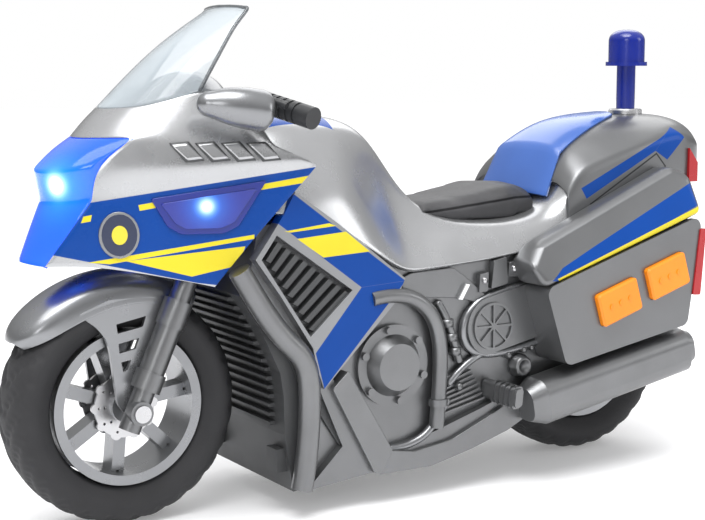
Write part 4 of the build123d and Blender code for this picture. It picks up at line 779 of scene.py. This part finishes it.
lens_rows = [
    [(0.0, -119.7, 78.6), (5.0, -118.6, 78.4), (8.5, -117.4, 78.3), (10.7, -116.4, 78.3)],
    [(0.0, -116.6, 87.0), (5.5, -115.2, 87.0), (9.8, -112.9, 87.1), (12.8, -110.1, 87.2)],
    [(0.0, -113.2, 95.3), (6.0, -111.5, 95.5), (11.5, -108.0, 95.9), (14.7, -103.8, 96.3)],
    [(0.0, -114.5, 104.2), (6.0, -113.2, 104.4), (12.0, -109.5, 105.0), (15.4, -103.0, 106.2)],
    [(0.0, -109.4, 109.4), (6.0, -108.0, 109.5), (12.0, -104.3, 109.9), (17.0, -97.8, 110.4)],
    [(0.0, -103.6, 113.0), (6.0, -102.3, 113.1), (12.0, -98.8, 113.3), (18.6, -92.4, 113.5)],
]
lens_edge = [row[-1] for row in lens_rows]
lens_rows = [row + [(row[-1][0] + 0.1, row[-1][1] + 2.4, row[-1][2])] for row in lens_rows]
shell("headlight_shell", [lens_rows], lens_glow, (0.0, -90.0, 95.0), levels=3, thickness=1.6,
      replaces=("headlight_lens",), creases=[(lens_rows[2], 0.9), (lens_rows[3], 0.9), (lens_edge, 1.0)])

# The two small side lamps: lit lenses in a raised dark-blue surround.
lamp_outline = [(-86.0, 95.2), (-60.2, 99.0), (-66.4, 89.6), (-70.0, 88.0), (-79.6, 88.0), (-82.2, 89.6)]


def on_fairing(y, z, proud=0.0):
    """A point on the flat part of the fairing's side, standing proud of it."""
    return (11.0 + 0.329 * (y + 116.0) + proud, y, z)


def fairing_tile(name, outline, material, low, high, corner=1.0, edge=0.3, replaces=()):
    """A thin tile with rounded corners on the fairing's sloping side, both sides."""
    shape = rounded(outline, corner)
    count = len(shape)
    verts = [on_fairing(y, z, low) for y, z in shape] + [on_fairing(y, z, high) for y, z in shape]
    faces = [tuple(range(count)), tuple(reversed(range(count, 2 * count)))]
    faces += [(i, i + count, (i + 1) % count + count, (i + 1) % count) for i in range(count)]
    faces += [tuple(2 * count + i for i in reversed(face)) for face in faces]
    verts += mirrored(verts)
    obj = make_piece(name, verts, faces, material, "main", replaces)
    make_outward(obj)
    soften(obj, edge)
    return obj


lamp_surround = [(-88.4, 96.6), (-57.2, 101.2), (-65.0, 88.4), (-69.0, 86.4), (-80.4, 86.4), (-84.0, 88.6)]
fairing_tile("side_lamp_surround", lamp_surround, blue_gloss, -1.0, 0.7, 0.8)
fairing_tile("side_lamp_lens", lamp_outline, side_glow, -1.2, 1.3, 0.6, 0.5, replaces=("side_lamps",))

cowl_rows = [
    [(0.0, -93.4, 120.9), (6.0, -92.4, 120.9), (12.0, -88.0, 121.3), (16.6, -81.0, 122.6)],
    [(0.0, -84.5, 125.0), (6.0, -84.0, 124.9), (11.5, -81.0, 124.8), (17.2, -76.5, 124.6)],
    [(0.0, -76.8, 129.1), (6.0, -76.5, 128.8), (11.5, -75.5, 127.8), (17.6, -72.5, 125.6)],
    [(0.0, -71.1, 132.1), (6.0, -71.0, 131.8), (11.5, -70.5, 130.4), (17.8, -69.0, 126.4)],
    [(0.0, -63.2, 132.1), (6.0, -63.2, 131.8), (11.5, -63.4, 130.2), (17.4, -64.2, 125.6)],
    [(0.0, -59.4, 128.6), (6.0, -59.4, 128.2), (11.2, -60.4, 126.8), (16.0, -62.0, 124.4)],
]
shell("dash_cowl", [cowl_rows], silver, (0.0, -70.0, 115.0), replaces=("instrument_panel",))

screen_rows = [
    [(0.0, -95.4, 121.6), (7.0, -93.4, 121.7), (13.2, -88.6, 122.1), (17.6, -80.6, 124.0), (19.6, -72.4, 126.6)],
    [(0.0, -85.4, 131.0), (6.6, -83.8, 131.2), (12.4, -79.6, 132.0), (16.4, -73.6, 133.2), (18.2, -66.6, 135.0)],
    [(0.0, -73.6, 140.8), (6.0, -72.4, 141.0), (11.2, -69.4, 141.6), (14.8, -64.8, 142.6), (16.2, -60.0, 144.0)],
    [(0.0, -56.4, 151.0), (5.6, -56.0, 150.9), (9.6, -55.4, 150.7), (12.2, -54.8, 150.4), (13.8, -54.2, 149.9)],
]
shell("windscreen_shell", [screen_rows], screen_clear, (0.0, -60.0, 120.0), levels=3, thickness=0.9,
      replaces=("windscreen",), rim=0.2, creases=[([row[-1] for row in screen_rows], 0.7), (screen_rows[-1], 0.7)])

screen_edge = [row[-1] for row in screen_rows[:-1]] + [(14.0, -54.4, 149.6), (12.4, -54.8, 150.3)]
screen_edge += [(9.4, -55.4, 150.6), (5.4, -56.0, 150.8), (0.0, -56.4, 150.9)]
sweep("windscreen_edges", screen_edge, circle(0.55, 10), smoke, up=(0, 1, 0), steps=8, dome=0.3,
      also_mirror=True)

# ---- tank and hips as one skin ---------------------------------------------------------------------
body_sections = {
    -55.6: [(0, 106), (7, 106), (12, 105), (18, 100), (23.5, 95), (26.5, 91)],
    -54.0: [(0, 115), (7, 115), (13, 113), (20, 106), (26, 98), (29.5, 92)],
    -46.0: [(0, 118.2), (7, 118), (13.5, 115.8), (21, 106.5), (27, 98), (30, 90)],
    -36.0: [(0, 118.6), (7, 118.4), (14, 116), (21.5, 106), (27.5, 97), (30, 86)],
    -28.0: [(0, 118.6), (7, 118.2), (14, 115.4), (21, 104.5), (27, 95), (30, 83)],
    -20.0: [(0, 118), (6.5, 117.2), (12.5, 112.5), (18, 102), (25, 91), (30, 78.5)],
    -12.0: [(0, 115.6), (6, 114.2), (10.5, 108), (14.5, 98), (21.5, 86.5), (29.5, 73.5)],
    -6.0: [(0, 110.5), (5.5, 109), (9, 103), (12, 94.5), (18.5, 83), (28.5, 71.5)],
    0.0: [(0, 101.5), (5.5, 100.3), (9, 96), (12, 90.5), (18, 81), (28, 72)],
    6.0: [(0, 93), (6, 92.2), (11, 89.8), (14.5, 86.5), (20, 80), (28, 72.3)],
    14.0: [(0, 86), (8, 86), (14, 85.6), (18, 84), (22.5, 79.5), (28, 72.6)],
    30.0: [(0, 84), (9, 84), (16, 84), (20, 83.2), (24.5, 80), (28, 73.6)],
    46.0: [(0, 85), (9, 85), (16.5, 85), (21.5, 84.6), (25.5, 82), (28, 76)],
    54.0: [(0, 90), (9, 90), (16.5, 89.6), (22, 88), (25.5, 85), (27.5, 77.5)],
    58.0: [(0, 96), (9, 96), (16.5, 95.6), (22, 94), (25.8, 91), (27, 79)],
}
body_rows = [[(x, y, z) for x, z in half] for y, half in body_sections.items()]
shell("body_skin", [body_rows], silver_light, (0.0, 0.0, 60.0), thickness=1.6, levels=3,
      replaces=("tank_shell", "tank_stripe", "seat_deck"))

# ---- tail, window and lamps --------------------------------------------------------------------------
tail_sections = {
    56.0: [(0, 97), (10, 97), (17.4, 96.5), (21.5, 95), (26.3, 92), (27, 86), (27, 79.2)],
    60.0: [(0, 105), (10, 105), (16.6, 104.9), (21, 103), (26.7, 99), (27.2, 90), (27, 80)],
    66.5: [(0, 110.4), (10, 110.2), (16.4, 108.6), (21.5, 105), (26.8, 101), (27.2, 91), (27, 81)],
    73.5: [(0, 114), (10, 113.4), (16, 111.4), (22, 107), (26.8, 103.4), (27.2, 92), (27, 83)],
    82.0: [(0, 115.6), (10, 115.2), (16.5, 112.9), (22.2, 109), (26.9, 106), (27.2, 95), (27, 86)],
    90.0: [(0, 116.2), (10, 116), (17, 113.8), (22.5, 111), (26.9, 108.4), (27.2, 98.5), (27, 90.5)],
    104.0: [(0, 116.9), (10, 116.8), (17, 115.6), (23, 114), (26.8, 111.4), (27.2, 103), (27, 96)],
    112.0: [(0, 116.7), (9, 116.4), (16, 114.8), (21.5, 112.4), (25.4, 108.6), (25.6, 102), (25.4, 95)],
    118.5: [(0, 115), (8, 114.6), (14, 113), (18.5, 110), (21, 106), (21, 100), (20.5, 94)],
    122.0: [(0, 111.5), (6, 111.3), (10.5, 110), (13.5, 107.5), (15, 104.5), (15, 100), (15, 94)],
    123.0: [(0, 106), (5, 106), (9, 105.4), (11.6, 104), (12.6, 102), (12.8, 98), (12.8, 94)],
}
tail_rows = [[(x, y, z) for x, z in half] for y, half in tail_sections.items()]
shell("tail_skin", [tail_rows], tail_print, (0.0, 85.0, 95.0), thickness=1.6, levels=2,
      replaces=("tail_box",), creases=[([row[4] for row in tail_rows], 0.5)])
window_rows = [
    [(0.0, 51.2, 91.6), (8.0, 51.4, 91.6), (15.0, 52.0, 91.4), (18.4, 53.2, 91.0)],
    [(0.0, 58.0, 107.2), (8.0, 58.2, 107.0), (14.4, 58.8, 106.4), (17.0, 59.8, 105.0)],
    [(0.0, 65.4, 112.3), (7.5, 65.5, 112.1), (13.2, 65.8, 111.0), (16.2, 66.2, 109.2)],
    [(0.0, 74.0, 115.9), (6.6, 74.0, 115.7), (11.8, 74.0, 114.8), (14.8, 74.0, 112.8)],
    [(0.0, 84.0, 117.2), (4.8, 84.0, 117.1), (8.6, 84.0, 116.7), (11.2, 84.0, 115.6)],
    [(0.0, 92.4, 117.7), (2.6, 92.2, 117.7), (5.0, 91.8, 117.4), (7.0, 91.0, 116.8)],
]
shell("tail_window_shell", [window_rows], blue_window, (0.0, 75.0, 90.0), levels=3, thickness=1.2,
      replaces=("tail_window",), rim=0.4, creases=[(window_rows[1], 0.6)])

# ---- pannier lids ------------------------------------------------------------------------------------
LID_INNER = 26.4
lid_ring = [(41.5, 36.0, 64.0), (39.5, 31.8, 71.4), (35.0, 37.4, 77.4), (35.0, 92.6, 100.4), (38.6, 98.6, 97.6),
            (41.5, 102.0, 84.8)]
for side, sign in (("left", 1), ("right", -1)):
    corners = len(lid_ring)
    verts = [(LID_INNER * sign, y, z) for _, y, z in lid_ring] + [(x * sign, y, z) for x, y, z in lid_ring]
    faces = [tuple(range(corners)), tuple(range(corners, 2 * corners))]
    faces += [(i, i + corners, (i + 1) % corners + corners, (i + 1) % corners) for i in range(corners)]
    lid = make_piece(f"pannier_lid_skin_{side}", verts, faces, lid_print, "main",
                     (f"pannier_lid_{side}",))
    make_outward(lid)
    modifier(lid, "BEVEL", width=2.6 * MM, segments=5, limit_method="ANGLE", angle_limit=radians(20))
    modifier(lid, "WEIGHTED_NORMAL", keep_sharp=False, weight=60)

# ---- tyres with a sipe tread ---------------------------------------------------------------------------
SIPES = 26
AROUND = SIPES * 8
tyre_profile = [(-7.6, 24.2), (-8.6, 25.4), (-10.2, 27.4), (-10.9, 29.4), (-10.6, 31.2), (-9.6, 32.6), (-8.0, 33.8),
                (-6.4, 34.4), (-4.8, 34.75), (-3.2, 34.9), (-1.6, 35.0), (0.0, 35.0), (1.6, 35.0), (3.2, 34.9),
                (4.8, 34.75), (6.4, 34.4), (8.0, 33.8), (9.6, 32.6), (10.6, 31.2), (10.9, 29.4), (10.2, 27.4),
                (8.6, 25.4), (7.6, 24.2), (7.2, 23.0), (-7.2, 23.0)]
for name, centre, body in (("front", FRONT_AXLE, "front_wheel"), ("rear", REAR_AXLE, "rear_wheel")):
    verts = []
    for across, radius in tyre_profile:
        for step in range(AROUND):
            angle = 2 * pi * step / AROUND
            place = (step / 8 + abs(across) * 0.16) % 1.0
            depth = 1.1 if place < 0.24 and 1.2 < abs(across) < 10.0 and radius > 30.5 else 0.0
            verts.append((centre[0] + across, centre[1] + (radius - depth) * cos(angle),
                          centre[2] + (radius - depth) * sin(angle)))
    rings = len(tyre_profile)
    faces = grid_faces(rings, AROUND, closed=True)
    faces += [((rings - 1) * AROUND + i, (rings - 1) * AROUND + (i + 1) % AROUND, (i + 1) % AROUND, i)
              for i in range(AROUND)]
    tyre = make_piece(f"{name}_tyre_tread", verts, faces, rubber, body, (f"{name}_tyre",))
    make_outward(tyre)
    subdivide(tyre, 1)

# ---- front mudguard: a smooth skin over the wheel and a slotted cheek on each fork leg -------------------
guard_half = [(0.0, 40.6), (4.4, 40.3), (8.0, 39.4), (10.2, 37.6), (11.1, 35.2), (11.3, 31.6)]
guard_rows = []
for angle, width, drop, skirt in ((33.0, 0.50, 1.6, 0.35), (36.0, 0.76, 0.7, 0.55), (42.0, 0.94, 0.1, 0.8),
                                  (52.0, 1.0, 0.0, 1.0), (66.0, 1.0, 0.0, 1.1), (82.0, 1.0, 0.0, 1.1),
                                  (98.0, 1.0, 0.0, 1.0), (112.0, 1.0, 0.0, 1.0), (124.0, 1.0, 0.0, 1.0)):
    row = []
    for x, radius in guard_half:
        reach = 40.6 - drop - (40.6 - radius) * skirt
        row.append((x * width, FRONT_AXLE[1] - reach * cos(radians(angle)),
                    FRONT_AXLE[2] + reach * sin(radians(angle))))
    guard_rows.append(row)
shell("mudguard_skin", [guard_rows], silver, tuple(FRONT_AXLE), "steering",
      ("front_mudguard",), thickness=1.0, levels=3, rim=0.25)
cheek = [(-107.0, 64.0), (-101.6, 59.8), (-98.9, 56.4), (-97.7, 52.8), (-95.7, 37.0), (-93.0, 33.5), (-90.0, 36.0),
         (-77.4, 65.2), (-84.6, 67.6), (-97.6, 67.6)]
cheek_slots = ([(-95.6, 60.3), (-86.4, 62.0), (-87.4, 59.0), (-95.2, 57.6)],
               [(-95.0, 54.6), (-88.6, 55.8), (-89.8, 52.7), (-94.8, 51.8)],
               [(-94.3, 49.2), (-91.2, 49.6), (-92.4, 46.8), (-93.7, 46.2)])
plate("mudguard_cheeks", cheek, 9.8, 11.2, silver, "silver_shell", "steering", edge=0.3, also_mirror=True,
      corner=1.0, holes=cheek_slots)

sweep("hand_guard_cups", [(34.4, -60.6, 121.0), (34.0, -66.0, 121.9), (33.0, -71.0, 122.6), (31.8, -75.6, 123.0)],
      [(5.6 * u, 5.9 * v) for u, v in circle(1.0, 28)], silver, "steering", ("hand_guards",),
      scale=[1.0, 0.97, 0.84, 0.60], dome=3.4, also_mirror=True)

# ---- details on the engine's sides -----------------------------------------------------------------------
plate("engine_front_legs", [(-35.4, 38.2), (-29.8, 43.2), (-14.0, 16.8), (-18.0, 9.8), (-20.6, 10.6)], 26.0, 30.6,
      silver_cast, "silver_parts", edge=1.2, corner=0.8, also_mirror=True)
plate("engine_lower_rails", [(-19.0, 9.8), (-14.4, 16.8), (-6.0, 15.4), (8.0, 17.4), (22.0, 23.0), (31.0, 27.2),
                             (40.0, 28.4), (41.0, 23.0), (30.0, 17.6), (16.0, 13.4), (0.0, 9.8)],
      26.0, 30.4, silver_cast, "silver_parts", edge=1.3, corner=1.0, also_mirror=True)
plate("engine_front_plates", [(-37.6, 35.6), (-35.8, 37.0), (-21.4, 11.0), (-25.0, 10.4), (-37.8, 30.0)], 26.0, 27.2,
      grey_cast, "grey_moulding", edge=0.4, also_mirror=True)
plate("engine_top_covers", [(-9.5, 68.8), (-6.0, 70.6), (10.2, 71.2), (15.2, 67.8), (24.2, 60.4), (21.0, 58.8),
                            (12.5, 61.4), (4.0, 62.2), (-8.0, 63.2)],
      26.0, 27.3, silver_cast, "silver_parts", edge=0.4, corner=1.2, also_mirror=True)
plate("switch_tabs", [(11.2, 61.2), (14.2, 66.0), (16.0, 65.6), (13.0, 60.8)], 27.0, 28.5, lamp_metal,
      "lamp_metal", edge=0.25, also_mirror=True)
for number, tab in enumerate(([(19.6, 62.6), (19.9, 68.4), (23.3, 69.0), (23.0, 62.8)],
                              [(24.0, 63.6), (25.0, 72.4), (29.8, 73.4), (30.6, 64.8)],
                              [(30.9, 67.0), (31.4, 71.4), (35.3, 72.2), (35.0, 66.6)])):
    plate(f"frame_tabs_{number + 1}", tab, 26.0, 28.6 - 0.5 * (number != 1), silver_cast, "silver_parts", edge=0.3,
          also_mirror=True, corner=0.4)
for number, (y, z, radius) in enumerate(((21.6, 66.4, 1.0), (33.2, 69.4, 1.0), (31.5, 41.5, 1.0), (37.6, 42.6, 0.9),
                                         (40.6, 43.0, 0.8), (12.2, 33.4, 1.1))):
    lathe(f"cover_rivets_{number + 1}", [(-1.0, radius * 1.25), (1.3, radius * 1.25), (1.6, radius), (2.0, radius),
                                         (2.3, radius * 0.8), (2.5, 0.05)],
          (26.6, y, z), steel if number < 2 else silver_cast, count=20, also_mirror=True,
          closed=False)
lathe("side_knobs", [(-1.0, 3.9), (0.9, 3.9), (1.2, 3.5), (2.9, 3.3), (3.5, 2.8), (3.5, 2.0), (2.9, 1.7), (2.9, 0.05)],
      (26.4, 36.6, 37.5), silver_cast, count=32, also_mirror=True, closed=False)
belt_rim = [(48.5, 65.2), (37.0, 63.4), (27.0, 61.6), (20.5, 59.6), (16.0, 56.0), (14.2, 51.4), (15.2, 46.8),
            (19.4, 43.4), (26.0, 42.4), (36.0, 43.4), (48.0, 45.6)]
sweep("belt_cover_rims", [(27.0, y, z) for y, z in belt_rim], circle(1.35, 14), silver, up=(1, 0, 0),
      dome=0.6, also_mirror=True)
plate("belt_cover_faces", [(48.0, 64.4), (27.0, 61.0), (20.8, 59.0), (16.6, 55.6), (15.0, 51.4), (15.9, 47.2),
                           (19.7, 44.2), (26.0, 43.2), (48.0, 46.4)],
      25.6, 26.9, silver_cast, "silver_parts", edge=0.3, corner=1.0, also_mirror=True)
plate("belt_cover_panels", [(36.2, 59.6), (47.6, 61.6), (47.6, 49.0), (36.2, 47.4), (37.4, 53.0)], 26.6, 27.5,
      silver_cast, "silver_parts", edge=0.35, corner=0.8, also_mirror=True)
sweep("oil_pipes", [(27.6, -13.5, 16.6), (28.0, -7.0, 17.2), (28.2, -1.0, 19.6), (28.2, 4.0, 24.4),
                    (27.8, 7.6, 29.4)],
      circle(1.25, 14), silver, up=(1, 0, 0), dome=0.8, also_mirror=True)
sweep("breather_pipes", [(27.4, 8.6, 34.8), (27.8, 12.6, 38.6), (27.6, 17.0, 41.2), (27.0, 21.0, 42.6)],
      circle(1.15, 14), silver, up=(1, 0, 0), dome=0.8, also_mirror=True)
sweep("cable_runs", [(26.8, 4.6, 60.6), (27.6, 7.0, 56.0), (27.8, 8.8, 51.6), (27.6, 10.6, 46.4), (27.2, 12.6, 41.4)],
      circle(1.3, 14), silver_cast, up=(1, 0, 0), dome=0.6, also_mirror=True)
for number in range(3):
    lathe(f"cable_sleeves_{number + 1}", [(-1.2, 1.3), (-1.2, 2.0), (1.2, 2.0), (1.2, 1.3)],
          (27.5, 7.8 + number * 1.5, 54.0 - number * 4.6), silver_cast, axis="Z", count=20,
          also_mirror=True)
for number in range(8):
    height = 24.6 + 1.55 * number
    rear = 23.0 - 0.9 * number
    plate(f"cylinder_ribs_{number + 1}", [(7.0, height), (7.0, height + 0.8), (rear, height + 4.2),
                                          (rear, height + 3.4)],
          25.8, 27.1, silver_cast, "silver_parts", edge=0.2, also_mirror=True)

# ---- moulded vents on the fairing's shoulders, and a plain roundel ------------------------------------------
fairing_surface = bpy.data.objects["fairing_skin"]


def on_skin(name, corners, material, raised, thickness, divisions=(8, 6)):
    """A thin tile laid on the fairing's curved surface, mirrored to the other side."""
    a, b, c, d = (Vector(corner) for corner in corners)
    across, down = divisions
    rows = []
    for i in range(down + 1):
        left, right = a.lerp(d, i / down), b.lerp(c, i / down)
        rows.append([tuple(left.lerp(right, j / across)) for j in range(across + 1)])
    verts = [point for row in rows for point in row]
    faces = grid_faces(down + 1, across + 1)
    offset = len(verts)
    faces += [tuple(offset + i for i in reversed(face)) for face in faces]
    verts += mirrored(verts)
    tile = make_piece(name, verts, faces, material, "main")
    modifier(tile, "SHRINKWRAP", target=fairing_surface, wrap_method="NEAREST_SURFACEPOINT",
             wrap_mode="ABOVE_SURFACE", offset=raised * MM)
    apply_modifiers(tile)
    normal = tile.data.polygons[0].normal
    if normal.x < 0:
        tile.data.flip_normals()
    modifier(tile, "SOLIDIFY", thickness=thickness * MM, offset=-1.0)


VENTS = 4
for number in range(VENTS):
    y = -79.6 + 6.9 * number
    x = 23.4 + 0.335 * (y + 79.6)
    for part, grow, raised, finish, slot in (("frame", 0.0, 0.5, grey_cast, "grey_moulding"),
                                             ("inset", 0.55, 0.75, fairing_print, "silver_shell")):
        corners = [(x - 1.6, y - 3.6 + grow, 111.9 - grow), (x - 0.2, y + 1.6 - grow, 112.3 - grow),
                   (x + 1.8, y + 5.6 - grow, 107.0 + grow), (x + 0.6, y + 0.4 + grow, 106.6 + grow)]
        on_skin(f"vent_{part}_{number + 1}", corners, finish, raised, 1.0)

roundel = [(-96.8 + 5.4 * cos(2 * pi * i / 24), 86.6 + 6.6 * sin(2 * pi * i / 24)) for i in range(24)]
inner_roundel = [(-96.8 + 4.7 * cos(2 * pi * i / 24), 86.6 + 5.9 * sin(2 * pi * i / 24)) for i in range(24)]
fairing_tile("roundel_rims", roundel, silver, -1.0, 0.45, 0.2, 0.15)
fairing_tile("roundel_discs", inner_roundel, navy, -1.0, 0.6, 0.2, 0.1)
centre_roundel = [(-96.8 + 2.1 * cos(2 * pi * i / 24), 86.6 + 2.7 * sin(2 * pi * i / 24)) for i in range(24)]
fairing_tile("roundel_centres", centre_roundel, gold, -1.0, 0.75, 0.2, 0.1)

# ---- seat: cushion from the CAD seat by cloth simulation, with a sewn seam --------------------------------------
seat_node = bpy.data.objects["seat"]
seat_mesh = seat_node.data.copy()
cushion = link("seat_cushion", seat_mesh)
cushion.data.materials.clear()
cushion.data.materials.append(vinyl)
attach(cushion, "main")
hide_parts("seat")
modifier(cushion, "REMESH", mode="VOXEL", voxel_size=1.1 * MM)
apply_modifiers(cushion)
for polygon in cushion.data.polygons:
    polygon.use_smooth = True
rest = [vertex.co.copy() for vertex in cushion.data.vertices]
SIM_SCALE = 10.0
for vertex in cushion.data.vertices:
    vertex.co = vertex.co * SIM_SCALE
cloth = cushion.modifiers.new("cloth", "CLOTH")
cloth.settings.use_pressure = True
cloth.settings.uniform_pressure_force = 4.0
cloth.settings.effector_weights.gravity = 0.0
for step in range(1, 21):
    bpy.context.scene.frame_set(step)
apply_modifiers(cushion)
bpy.context.scene.frame_set(1)
for vertex in cushion.data.vertices:
    vertex.co = vertex.co / SIM_SCALE
SWELL_LIMIT = 1.1 * MM
for vertex, start in zip(cushion.data.vertices, rest):
    travel = vertex.co - start
    if travel.length > SWELL_LIMIT:
        travel *= SWELL_LIMIT / travel.length
    vertex.co = start + travel
modifier(cushion, "SMOOTH", factor=0.5, iterations=6)
apply_modifiers(cushion)
seat_low, seat_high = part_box("seat")


def seam_height(y):
    """Height of the sewn line between the seat's top panel and its sides, in millimetres."""
    part_way = min(1.0, max(0.0, (y - SEAT_FRONT) / (SEAT_BACK - SEAT_FRONT)))
    return SEAM_FRONT + (SEAM_BACK - SEAM_FRONT) * part_way


for vertex in cushion.data.vertices:
    x, y, z = (value / MM for value in vertex.co)
    if abs(x) > 9.0 or y > 47.0 or y < 9.0:
        gap = abs(z - seam_height(y))
        if gap < 1.1:
            inward = Vector((-x, 0.0, 0.0)).normalized() * 0.35 * MM
            vertex.co += inward * (1 - gap / 1.1)
subdivide(cushion, 1)

# ---- rounded edges on the exact CAD parts ----------------------------------------------------------
EDGE_WIDTHS = {
    "side_panel_left": 0.5, "side_panel_right": 0.5, "chassis_left": 0.4, "chassis_right": 0.4, "crash_bars": 0.8,
    "pannier_box_left": 1.6, "pannier_box_right": 1.6, "pannier_lid_left": 2.0, "pannier_lid_right": 2.0,
    "tail_box": 1.2, "mufflers": 1.2, "engine_covers": 0.35, "belt_covers": 0.35, "footpegs": 0.4,
    "front_rim": 0.35, "rear_rim": 0.35, "fork_leg_left": 0.5, "fork_leg_right": 0.5, "radiator_grille": 0.2,
    "sound_button_front": 1.0, "sound_button_rear": 1.0, "tail_lamps": 0.5, "front_mudguard": 0.5,
}
for name, width in EDGE_WIDTHS.items():
    soften(bpy.data.objects[name], width)
